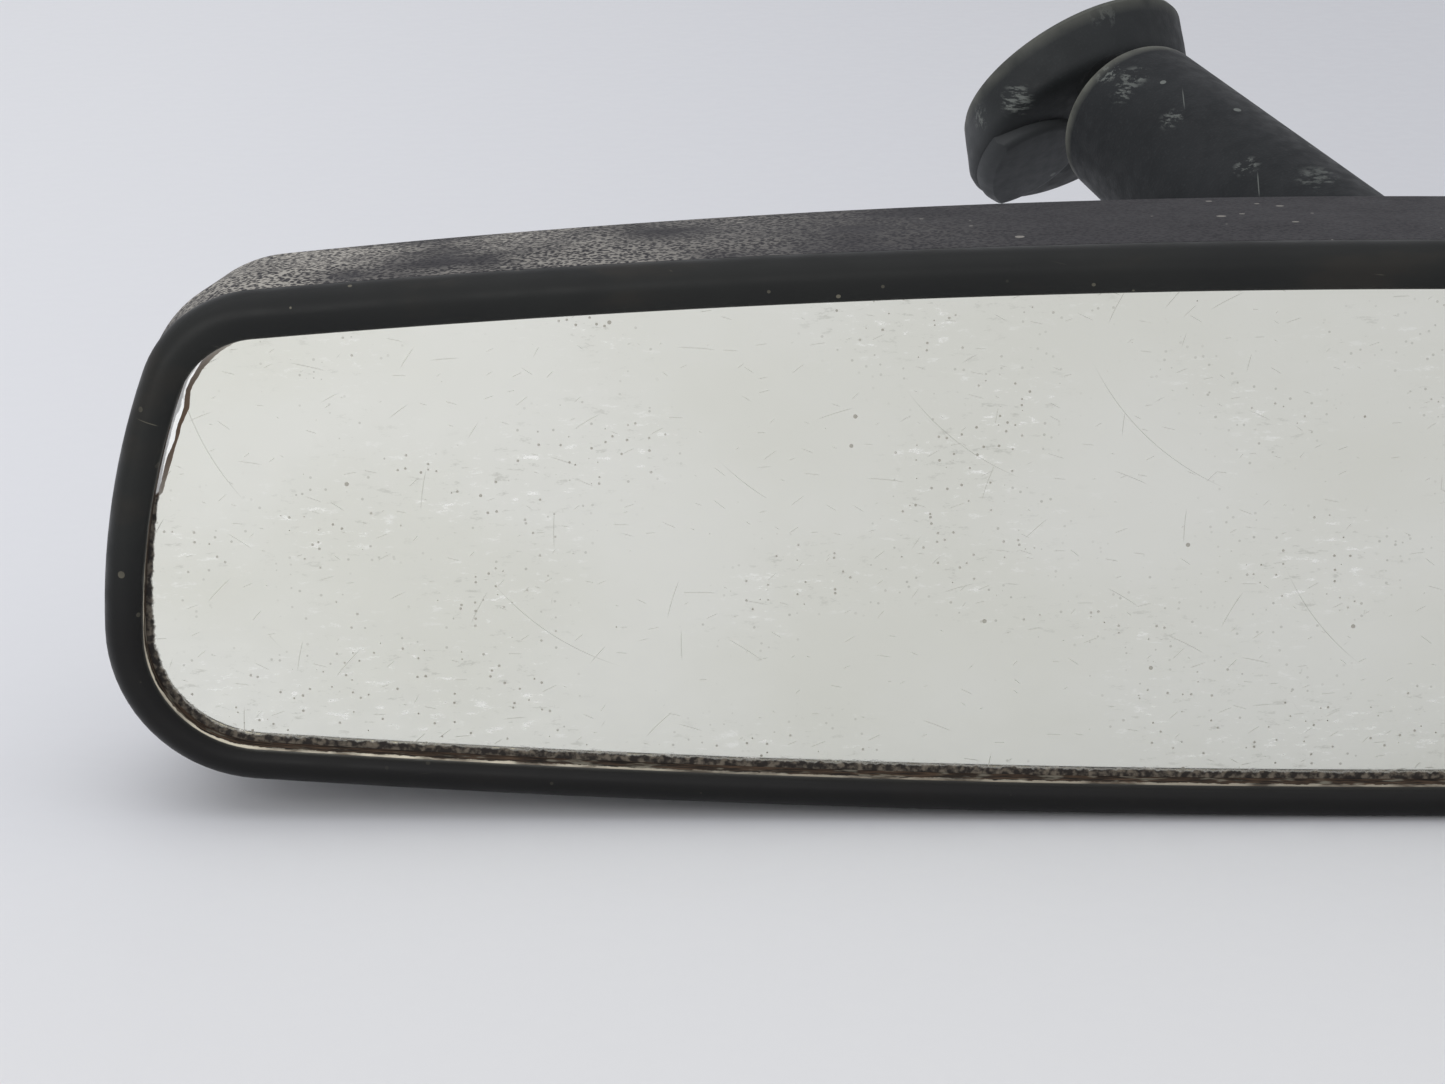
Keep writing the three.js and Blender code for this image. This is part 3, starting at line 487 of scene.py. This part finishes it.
def housing_material():
    """Grained dark plastic whose grain is worn pale on upward faces towards the left end."""
    s = Shade("housing_plastic")
    x, _, _ = s.axes()
    worn = s.calc("MULTIPLY", s.ramp(x, -5, -85), s.ramp(s.noise(14, 3, shift=3), 0.28, 0.62))
    grain = s.noise(0.4, 3, rough=0.65)
    pits, _ = s.cells(0.46)
    leather = s.calc("ADD", s.calc("MULTIPLY", grain, 0.8), s.calc("MULTIPLY", pits.outputs["Distance"], 0.6))
    base = s.mix(s.ramp(s.noise(30, 2), 0.3, 0.7), tone(47, 46, 49), tone(53, 52, 55))
    base = s.mix(s.ramp(leather, 0.5, 0.8, 0.0, 0.35), base, tone(80, 79, 80))
    pale = s.calc("MULTIPLY", s.ramp(leather, 0.62, 0.8), s.calc("MULTIPLY", worn, s.upward(0.25, 0.8)))
    base = s.mix(pale, base, tone(172, 168, 160))
    dust = s.most(
        s.specks(2.2, 0.5, 0.16, shift=9),
        s.specks(7.0, 1.0, 0.14, shift=19),
        s.calc("MULTIPLY", s.scratches(9, 5.0, 0.09, 0.3, 0.2, 1.6, 13), 0.8),
    )
    base = s.mix(s.calc("MULTIPLY", dust, 0.55), base, tone(168, 164, 156))
    s.set(Base_Color=base, Roughness=s.ramp(s.noise(4, 3, shift=27), 0.3, 0.7, 0.74, 0.86))
    s.set(Specular_IOR_Level=0.14)
    return s.bump(s.calc("ADD", leather, s.calc("MULTIPLY", dust, 0.4)), 0.55, 0.16).material


def satin_material(name, dark, light, marks=(), rim=None, painted_sheen=None):
    """Satin moulded plastic with mottling, hair scratches, scuffs at marks, a painted highlight along the rim
    attribute and, where a place and radius are given, a pale patch of painted sheen.
    """
    s = Shade(name)
    base = s.mix(s.ramp(s.noise(9, 3), 0.3, 0.7), dark, light)
    # Painted sheen: a pale patch standing in for light caught on the foot's lower lobe.
    if painted_sheen is not None:
        base = s.mix(s.calc("MULTIPLY", s.patch(*painted_sheen), 0.6), base, tone(82, 84, 86))
    fine = s.noise(0.3, 3)
    base = s.mix(s.ramp(fine, 0.5, 0.8, 0.0, 0.25), base, tone(56, 58, 59))
    specks = s.most(
        s.specks(2.4, 0.42, 0.13, shift=2),
        s.calc("MULTIPLY", s.scratches(6, 3.4, 0.07, 0.2, 0.5, 2.2, 8), 0.8),
    )
    scuff = specks
    for place, radius, stretch, amount in marks:
        torn = s.ramp(s.noise(radius * 0.4, 5, stretch, radius * 7, 0.7), 0.5, 0.6)
        here = s.calc("MULTIPLY", torn, s.patch(place, radius))
        scuff = s.calc("MAXIMUM", scuff, s.calc("MULTIPLY", here, amount))
    base = s.mix(s.calc("MULTIPLY", scuff, 0.6), base, tone(122, 126, 122))
    # Painted highlight: a pale band along the edge marked by rim, broken up by noise, standing in for light
    # caught on that edge.
    if rim is not None:
        worn = s.ramp(s.noise(3.5, 4, shift=51), 0.3, 0.6, 0.45, 1.0)
        base = s.mix(s.calc("MULTIPLY", s.attribute(rim), worn), base, tone(98, 99, 92))
    s.set(Base_Color=base, Roughness=s.ramp(s.noise(1.6, 4, shift=4), 0.3, 0.7, 0.46, 0.6))
    s.set(Specular_IOR_Level=0.15)
    return s.bump(s.calc("ADD", fine, s.calc("MULTIPLY", scuff, 0.7)), 0.25, 0.08).material


def mirror_material():
    """Silvered glass: a slightly green metal face with scratches, specks, haze, painted reflection of the
    table in front and a corroded edge.
    """
    s = Shade("silvered_glass")
    # The haze noise mottles the face's tone, a painted reflection of the table in front, and makes its
    # roughness hazy.
    haze_and_reflection = s.noise(34, 4, (1, 0.1, 1.6), 5)
    base = s.mix(s.ramp(haze_and_reflection, 0.35, 0.65), tone(235, 235, 227), tone(230, 230, 220))
    # Pale and dim streaks across the face, partly crackle in the silver with its own relief, partly a painted
    # reflection of the scratched table in front.
    cross = s.ramp(s.noise(16, 3, (0.7, 0.1, 1), 77), 0.44, 0.62)
    worn = s.noise(1.1, 6, (0.5, 0.1, 1.5), 13, 0.75)
    pale = s.calc("MULTIPLY", s.ramp(worn, 0.57, 0.66), cross)
    dim = s.calc("MULTIPLY", s.ramp(worn, 0.43, 0.34), cross)
    hairs = s.most(
        s.scratches(6, 4.6, 0.06, 0.55, 0.5, 2.2, 1),
        s.scratches(2.6, 1.8, 0.05, 0.6, 0.1, 1.6, 29),
        s.scratches(20, 22, 0.06, 0.6, 2.2, 0.9, 53),
    )
    specks = s.most(
        s.specks(1.5, 0.24, 0.22, (1, 0.02, 1), 7),
        s.specks(3.2, 0.36, 0.3, (1, 0.02, 1), 37),
        s.calc("MULTIPLY", s.specks(0.7, 0.2, 0.3, (1, 0.02, 1), 67), cross),
    )
    base = s.mix(s.calc("MULTIPLY", dim, 0.5), base, tone(190, 190, 180))
    base = s.mix(s.calc("MULTIPLY", pale, 0.75), base, tone(255, 255, 250))
    base = s.mix(s.calc("MULTIPLY", hairs, 0.42), base, tone(156, 156, 146))
    base = s.mix(s.calc("MULTIPLY", specks, 0.6), base, tone(120, 114, 98))
    # Corrosion creeping in from the glass's edge, brown and speckled.
    creep = s.calc("MULTIPLY_ADD", s.noise(0.8, 4, shift=3, rough=0.65), 0.45, s.attribute("edge"))
    rot = s.ramp(creep, 0.76, 0.94)
    rust = s.mix(s.ramp(s.noise(0.7, 4, shift=15), 0.42, 0.66), tone(36, 31, 28), tone(112, 104, 92))
    base = s.mix(rot, base, rust)
    # The bare strip at the upper left is paler, with a brown line along its edge.
    lost = s.attribute("lost")
    base = s.mix(s.ramp(lost, 0.5, 0.56), base, tone(255, 255, 252))
    width = s.calc("MULTIPLY_ADD", s.noise(2.0, 3, shift=45), 0.14, 0.01)
    line = s.calc("LESS_THAN", s.calc("ABSOLUTE", s.calc("SUBTRACT", lost, 0.5)), width)
    line = s.calc("MULTIPLY", line, s.attribute("strip"))
    base = s.mix(line, base, tone(104, 82, 62))
    dull = s.most(rot, line)
    s.set(Base_Color=base, Metallic=s.calc("SUBTRACT", 1.0, s.calc("MULTIPLY", dull, 0.9)))
    soft = s.calc("MULTIPLY", s.most(hairs, specks, s.calc("MULTIPLY", pale, 0.8)), 0.3)
    soft = s.calc("ADD", soft, s.ramp(haze_and_reflection, 0.3, 0.7, 0.06, 0.1))
    s.set(Roughness=s.calc("MAXIMUM", soft, s.calc("MULTIPLY", dull, 0.55)))
    return s.bump(s.calc("ADD", s.calc("MULTIPLY", hairs, 0.5), pale), 0.06, 0.03).material


def metal_material(name, dark, light, rough, size):
    """Dull metal with tarnish in patches about three times size across."""
    s = Shade(name)
    base = s.mix(s.ramp(s.noise(size, 4), 0.3, 0.7), dark, light)
    tarnish = s.ramp(s.noise(size * 3, 3, shift=9), 0.52, 0.72, 0.0, 0.5)
    base = s.mix(tarnish, base, tone(122, 112, 96))
    s.set(Base_Color=base, Metallic=1.0)
    s.set(Roughness=s.ramp(s.noise(size * 0.6, 3, shift=4), 0.3, 0.7, rough, rough + 0.18))
    return s.bump(s.noise(size * 0.4, 3), 0.2, 0.05).material


def soft_material(name, dark, light, rough, size, strength):
    """Foam or nylon with pores about size millimetres across."""
    s = Shade(name)
    pores, _ = s.cells(size)
    base = s.mix(s.ramp(s.noise(size * 6, 3), 0.3, 0.7), dark, light)
    base = s.mix(s.ramp(pores.outputs["Distance"], 0.2, 0.6, 0.0, 0.4), base, light)
    s.set(Base_Color=base, Roughness=s.ramp(s.noise(size * 2, 2), 0.3, 0.7, rough - 0.08, rough))
    return s.bump(pores.outputs["Distance"], strength, size * 0.3).material


# ---------------------------------------------------------------- pieces


def mark(obj, name, value_at, place=HEAD):
    """Stores a number at each vertex, from where it is in the piece's own coordinates (mm)."""
    back = place.inverted()
    layer = obj.data.attributes.new(name, "FLOAT", "POINT")
    for i, vertex in enumerate(obj.data.vertices):
        layer.data[i].value = value_at(back @ vertex.co)
    return obj


def clamp01(v):
    return max(0.0, min(1.0, v))


def make_bezel():
    """Rolled ring: outer side, rolled front, dished lip, the wall down to the glass and the tongue behind."""
    wall_foot = SILVER_DEPTH + 0.5
    lip_width = APERTURE_INSET - LIP_CREST
    profile = [(TONGUE_INSET, SEAM), (0.35, SEAM), (0.1, SEAM - 0.1), (0, SEAM - 0.3)]
    profile += arc(LIP_CREST, LIP_ROLL, LIP_CREST, LIP_ROLL, 180, 270, 12)
    profile += arc(LIP_CREST, LIP_DISH, lip_width, LIP_DISH, 270, 360, 8)[1:]
    profile += [(APERTURE_INSET, depth) for depth in (1.5, 2.2, 2.8, wall_foot)]
    profile += [(SEAT_INSET, wall_foot), (SEAT_INSET, TONGUE_END), (TONGUE_INSET, TONGUE_END)]
    rings = []
    for inset, depth in profile:
        lift = APERTURE_LIFT * clamp01((inset - LIP_CREST) / lip_width)
        rings.append(head_ring(inset, depth, lift))
    obj = mesh_object("bezel_ring", *skin(rings, endless=True), HEAD, 40)
    return mark(obj, "lip", lambda p: 1.0 if LIP_DISH - 0.05 < p.y < wall_foot + 0.1 and on_lip(p) else 0.0)


def aperture_gap(x, z):
    """How far inside the lip's edge a point of the face lies (mm)."""
    z -= APERTURE_LIFT
    x = -abs(x)
    side = SIDE_R - math.hypot(x - SIDE_C.x, z - SIDE_C.y)
    top = TOP_R - math.hypot(x - TOP_C.x, z - TOP_C.y)
    bottom = BOTTOM_R - math.hypot(x - BOTTOM_C.x, z - BOTTOM_C.y)
    corner = min(side, top, bottom)
    for centre, radius, above in ((UPPER_C, UPPER_R, True), (LOWER_C, LOWER_R, False)):
        if x < centre.x and (z > centre.y) == above:
            corner = min(corner, radius - math.hypot(x - centre.x, z - centre.y))
    return corner - APERTURE_INSET


def on_lip(p):
    return abs(aperture_gap(p.x, p.z)) < 0.12


def make_glass():
    """Glass slab whose front is the silvered face as it is seen through the glass."""
    insets = [3.0, 3.5, 3.8, 4.1, 4.4, 4.8, 5.3, 6.0, 7.0, 8.5]
    rings = [
        head_ring(GLASS_INSET, GLASS_BACK),
        head_ring(GLASS_INSET, SILVER_DEPTH + GLASS_CHAMFER),
        head_ring(GLASS_INSET + GLASS_CHAMFER, SILVER_DEPTH),
    ]
    rings += [head_ring(inset, SILVER_DEPTH, APERTURE_LIFT) for inset in insets]
    obj = mesh_object("silvered_glass_slab", *skin(rings), HEAD, 30)
    mark(obj, "edge", lambda p: clamp01(1.0 - inward(p) / corrosion_reach(p.z)))
    mark(obj, "lost", lost_silver)
    return mark(obj, "strip", lambda p: strip_share(p) ** 0.3)


def inward(p):
    return max(0.0, aperture_gap(p.x, p.z))


def corrosion_reach(z):
    """Corrosion reaches further in along the lower left side and the bottom than at the top (mm)."""
    return 0.5 + 1.5 * clamp01((8 - z) / 20)


def strip_share(p):
    """Along the upper left side the silver has let go: 0 at both ends of the strip, 1 at its widest."""
    t = (p.z - STRIP_FOOT) / STRIP_LENGTH
    return math.sin(math.pi * t) if 0 < t < 1 and p.x < STRIP_RIGHT else 0.0


def lost_silver(p):
    """0.5 on the edge of the bare strip, more between it and the lip (1 mm across is 0.35)."""
    share = strip_share(p)
    if share <= 0:
        return 0.0
    wave = 0.14 * math.sin(p.z * 0.8) + 0.08 * math.sin(p.z * 2.1 + 1)
    reach = 0.15 + (0.6 + 0.6 * wave) * share ** 0.6
    return clamp01(0.5 + (reach - inward(p)) * 0.35)


def make_housing():
    """Shell behind the seam, seated over the bezel's tongue, with the arm's opening and the lever's slot."""
    shell = mesh_object("housing_shell", *skin(housing_rings(0.1, SEAM + GAP)), HEAD)
    hollow = mesh_object("hollow", *skin(housing_rings(WALL, SEAM - 1)), HEAD)
    tongue = [head_ring(TONGUE_INSET - GAP, depth) for depth in (SEAM - 1, TONGUE_END + GAP)]
    seat = mesh_object("seat", *skin(tongue), HEAD)
    mouth = mesh_object("mouth", *skin([opening_ring(*ring) for ring in OPENING]), HEAD)
    slot = mesh_object("slot", *box_mesh(*LEVER_SLOT), HEAD)
    boolean(shell, seat, hollow, mouth, slot)
    return resharpen(shell, 38)


def opening_ring(depth, centre, half_width, half_height, corner=10.5):
    points = []
    for quarter, (sx, sz) in enumerate(((1, 1), (-1, 1), (-1, -1), (1, -1))):
        for i in range(13):
            a = math.radians(90 * quarter + 7.5 * i)
            x = sx * (half_width - corner) + corner * math.cos(a)
            points.append((x, depth, centre + sz * (half_height - corner) + corner * math.sin(a)))
    return points


def box_mesh(low, high):
    xs, ys, zs = zip(low, high)
    points = [(x, y, z) for z in zs for y in ys for x in xs]
    faces = [(0, 2, 3, 1), (4, 5, 7, 6), (0, 1, 5, 4), (2, 6, 7, 3), (0, 4, 6, 2), (1, 3, 7, 5)]
    return points, faces


def turned(name, profile, place, count=96, sharp=35.0):
    """A closed profile of (radius, height) pairs revolved about local +Z."""
    rings = [circle(max(radius, 0.0), height, count) for radius, height in profile]
    return mesh_object(name, *skin(rings, endless=True), place, sharp)


def bore_arc(centre, bore, start, end):
    """The part of a ball's seat between two angles from the arm's axis, as (radius, height) pairs."""
    angles = [math.radians(a) for a in steps_between(start, end, 8)]
    return [(bore * math.sin(a), centre + bore * math.cos(a)) for a in angles]


def make_arm():
    """Cone with a ball's seat at each end and rounded end edges."""
    length = FOOT_END - HEAD_END - 2 * ARM_EDGE
    head_lip = math.degrees(math.acos(HEAD_END / HEAD_BORE))
    foot_lip = math.degrees(math.acos((FOOT_END - BALL_SPACING) / FOOT_BORE))
    inside = bore_arc(0, HEAD_BORE, head_lip, 90) + [(HEAD_BORE, 14), (FOOT_BORE, 36)]
    inside += bore_arc(BALL_SPACING, FOOT_BORE, 90, foot_lip)
    outside = arc(FOOT_END_R - ARM_EDGE, FOOT_END - ARM_EDGE, ARM_EDGE, ARM_EDGE, 90, 4, 8)
    outside += [(FOOT_END_R + (HEAD_END_R - FOOT_END_R) * t, FOOT_END - ARM_EDGE - length * t)
                for t in (0.02, 0.05, 0.1, 0.25, 0.5, 0.75, 0.9, 0.98)]
    outside += arc(HEAD_END_R - ARM_EDGE, HEAD_END + ARM_EDGE, ARM_EDGE, ARM_EDGE, 0, -90, 6)
    obj = turned("arm_cone", inside + outside, ARM, 128, 40)
    return mark(obj, "rim", arm_rim, ARM)


def arm_rim(p):
    """1 on the outer edge of the foot end, 0 elsewhere."""
    outer = math.hypot(p.x, p.y) > FOOT_END_R - 1.2
    return clamp01((p.z - (FOOT_END - 1.15)) / 0.5) if outer else 0.0


def foot_circle(radius, height, lean, count=120):
    centre = (FOOT_LEAN[0] * lean, FOOT_LEAN[1] * lean)
    return circle(radius, height, count, centre)


def make_foot():
    """Cover disc with a rounded rim, a hollow inside and a swivel scoop round the ball."""
    shell = mesh_object("foot_cover", *skin([foot_circle(*ring) for ring in foot_profile()]), FOOT)
    boolean(shell, make_boss(), operation="UNION")
    inner = FOOT_R - FOOT_WALL
    hollow = [foot_circle(inner, 1, 0), foot_circle(inner, -3.0, 0), foot_circle(inner - 0.8, -4.6, 0.7)]
    ball = FOOT.inverted() @ FOOT_BALL
    stud = [circle(STUD_BORE_R, height, 48) for height in (0, 20)]
    boolean(
        shell,
        mesh_object("foot_hollow", *skin(hollow), FOOT),
        mesh_object("scoop", *sphere_mesh(ball, SCOOP_R), FOOT),
        mesh_object("bore", *skin(stud), aimed(FOOT_BALL, -FOOT_BALL)),
    )
    # A band of the rim next to the windscreen side is marked for a weaker painted highlight.
    mark(shell, "rim", lambda p: 0.55 if -1.0 < p.z < -0.2 else 0.0, FOOT)
    return resharpen(shell, 30)


def foot_profile():
    """Radius, height and share of the lean of the cover's rings, from the windscreen side down."""
    rim = [(FOOT_R - 1.2, -0.32, 0), (FOOT_R - 0.6, -GAP, 0), (FOOT_R - 0.25, -0.45, 0.05)]
    side = [(FOOT_R, -0.9, 0.1), (FOOT_R + 0.04, -2.2, 0.35), (FOOT_R + 0.08, -3.6, 0.6)]
    corner = [(FOOT_R + 0.1, -5.0, 0.88), (FOOT_R - 0.02, -5.6, 0.93), (FOOT_R - 0.35, -6.05, 0.96)]
    under = [(FOOT_R - 0.9, -6.35, 0.98), (FOOT_R - 1.8, -6.6, 1.0), (FOOT_R - 3.2, -6.8, 0.97)]
    return rim + side + corner + under + [(FOOT_R - 5, FOOT_UNDERSIDE, 0.92), (FOOT_R - 8, -7.1, 0.9)]


def make_boss():
    """Low round boss on the underside, cut off where it would pass the cover's own side."""
    top = FOOT_UNDERSIDE - BOSS_RISE
    edge = arc(0, 0, BOSS_EDGE, BOSS_EDGE, 0, 90, 8)
    rings = [(BOSS_R, -5.7)]
    rings += [(BOSS_R - BOSS_EDGE + x, top + BOSS_EDGE - y) for x, y in edge]
    rings += [(BOSS_R - 3, top - 0.12), (BOSS_R - 5, top - 0.2)]
    boss = mesh_object("foot_boss", *skin([circle(r, height, 96, BOSS_PLACE) for r, height in rings]), FOOT)
    cuts = ((0, -1), (0, -6.9), (0.35, -7.6), (1.1, -8.4), (2.2, -9))
    reach = [foot_circle(FOOT_R - 0.5 - cut, height, 1) for cut, height in cuts]
    return boolean(boss, mesh_object("reach", *skin(reach), FOOT), operation="INTERSECT")


def sphere_mesh(centre, radius, across=72, down=36):
    rings = []
    for i in range(down + 1):
        a = math.pi * (i + 0.5) / (down + 1)
        rings.append([
            (centre.x + x, centre.y + y, centre.z + z)
            for x, y, z in circle(radius * math.sin(a), radius * math.cos(a), across)
        ])
    return skin(rings)


# ---------------------------------------------------------------- assembly

# Scuffed patches: a place in the row frame (mm), a radius, the noise's stretch and how strong they are.
# The painted sheen on the foot's lobe has only a place and a radius.
ARM_MARKS = (
    ((2.5, -18.4, 3.1), 1.9, (1, 1, 1), 0.9),
    ((5.0, -21.0, 3.1), 2.3, (0.6, 0.6, 1.6), 0.8),
    ((4.0, -22.1, 1.9), 2.2, (0.5, 0.5, 1.8), 0.7),
    ((8.3, -29.5, 0.2), 1.8, (0.5, 0.5, 1.6), 0.7),
    ((14.8, -41.0, -2.4), 1.8, (0.6, 0.6, 1.4), 0.8),
    ((22.0, -45.4, -2.9), 3.4, (0.35, 0.35, 2.0), 0.6),
)
FOOT_MARKS = (
    ((-7.0, -13.0, -1.0), 2.4, (0.5, 0.5, 2.4), 1.0),
    ((-6.0, -9.0, 3.5), 2.6, (1.6, 1.6, 0.5), 0.8),
    ((-1.0, -9.0, 4.0), 3.4, (1.2, 1.2, 0.6), 0.8),
    ((2.0, -8.5, 7.0), 3.2, (1.2, 1.2, 0.7), 0.8),
    ((-11.5, -10.0, -3.5), 2.2, (1, 1, 0.8), 0.9),
)
FOOT_PAINTED_SHEEN = ((-5.3, -6.3, -9.8), 11)

bezel_look = bezel_material()
housing_look = housing_material()
# The arm and the foot are one plastic; the arm's tones are set darker than the foot's as painted shade,
# holding the arm dark under the overhead lamp.
arm_look = satin_material("arm_plastic", tone(27, 29, 31), tone(33, 35, 37), ARM_MARKS, "rim")
foot_look = satin_material("foot_plastic", tone(37, 39, 40), tone(45, 47, 48), FOOT_MARKS, "rim", FOOT_PAINTED_SHEEN)
inner_look = satin_material("inner_plastic", tone(26, 27, 29), tone(34, 35, 37))
mirror_look = mirror_material()
steel_look = metal_material("zinc_plated_steel", tone(150, 152, 152), tone(190, 190, 186), 0.3, 1.2)
zinc_look = metal_material("die_cast_zinc", tone(120, 122, 124), tone(158, 160, 160), 0.48, 0.8)
nylon_look = soft_material("natural_nylon", tone(206, 202, 188), tone(224, 220, 208), 0.5, 0.4, 0.1)
foam_look = soft_material("closed_cell_foam", tone(44, 44, 46), tone(70, 70, 72), 0.95, 0.35, 0.6)
pad_look = soft_material("bonding_pad_foam", tone(26, 26, 28), tone(40, 40, 42), 0.85, 0.3, 0.4)


def dress(obj, look):
    obj.data.materials.clear()
    obj.data.materials.append(look)
    return obj


for piece, look, body, node, slot in (
    (make_bezel(), bezel_look, "head", "bezel", "bezel"),
    (make_glass(), mirror_look, "head", "mirror_glass", "mirror_glass"),
    (make_housing(), housing_look, "head", "rear_housing", "housing"),
    (make_arm(), arm_look, "arm", "arm_tube", "arm_plastic"),
    (make_foot(), foot_look, "foot", "foot_shell", "arm_plastic"),
):
    dress(piece, look)
    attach(piece, body)
    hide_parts(node)

CARRIED = {
    "inner_plastic": (inner_look, ["toggle_carrier", "day_night_lever", "backing_plate"]),
    "steel": (steel_look, [
        "foot_plate", "foot_ball_stud", "foot_screw_1", "foot_screw_2", "arm_spring",
        "toggle_pin", "lever_pin", "detent_spring", "detent_screw_left", "detent_screw_right",
        "head_ball_stud", "head_ball", "stud_washer", "stud_nut",
    ]),
    "zinc": (zinc_look, ["foot_core"]),
    "nylon": (nylon_look, ["head_ball_cup", "foot_ball_cup"]),
    "foam": (foam_look, ["glass_foam"]),
    "bonding_pad": (pad_look, ["bonding_pad"]),
}
for look, names in CARRIED.values():
    for name in names:
        dress(frame["nodes"][name], look)

# ---------------------------------------------------------------- floor, light, camera

FLOOR_Z = cad_box[0].z
CAMERA_PLACE, CAMERA_TURN, LENS = (-0.03908, -0.44942, 0.0819), 73, 100.55


def floor_material():
    s = Shade("pale_table")
    x, y, _ = s.axes()
    # Painted light: the table's tone is lighter towards the left and drawn to an even pale grey towards the
    # front, standing in for how the light falls across it.
    base = s.mix(s.ramp(x, -220, 130), tone(228, 229, 232), tone(206, 207, 211))
    base = s.mix(s.ramp(y, -60, -160, 0.0, 0.8), base, tone(221, 221, 222))
    s.set(Base_Color=base, Roughness=s.ramp(s.noise(3, 3), 0.3, 0.7, 0.5, 0.62))
    s.set(Specular_IOR_Level=0.3)
    return s.bump(s.noise(0.8, 3), 0.08, 0.05).material


def make_floor():
    reach = 3000
    points = [(-reach, -reach, 0), (reach, -reach, 0), (reach, reach, 0), (-reach, reach, 0)]
    place = Matrix.Translation((0, 0, FLOOR_Z)) @ Matrix.Scale(MM, 4)
    floor = mesh_object("table", points, [(0, 1, 2, 3)], place)
    dress(floor, floor_material())


def area_light(name, place, aim, size, power, colour=(1, 1, 1)):
    data = bpy.data.lights.new(name, "AREA")
    data.shape = "RECTANGLE"
    data.size, data.size_y = size
    data.energy = power
    data.color = colour
    light = bpy.data.objects.new(name, data)
    light.location = place
    light.rotation_euler = (Vector(aim) - Vector(place)).to_track_quat("-Z", "Y").to_euler()
    bpy.context.scene.collection.objects.link(light)


def make_camera():
    data = bpy.data.cameras.new("camera")
    data.sensor_width, data.lens = 36.0, LENS
    data.clip_start, data.clip_end = 0.01, 20.0
    camera = bpy.data.objects.new("camera", data)
    camera.location = CAMERA_PLACE
    camera.rotation_euler = (math.radians(CAMERA_TURN), 0, 0)
    bpy.context.scene.collection.objects.link(camera)
    bpy.context.scene.camera = camera


make_floor()
area_light("overhead", (-0.35, -0.25, 1.25), (0, 0, 0), (1.8, 1.4), 6.0, (1.0, 1.0, 1.0))
area_light("front", (-0.7, -1.3, 0.55), (0, 0, 0), (1.4, 0.9), 9.0, (1.0, 0.99, 0.97))
world = bpy.data.worlds.new("sky")
world.use_nodes = True
world.node_tree.nodes["Background"].inputs["Color"].default_value = (0.9, 0.91, 0.95, 1)
world.node_tree.nodes["Background"].inputs["Strength"].default_value = 0.72
bpy.context.scene.world = world
bpy.context.scene.view_settings.view_transform = "Standard"
make_camera()
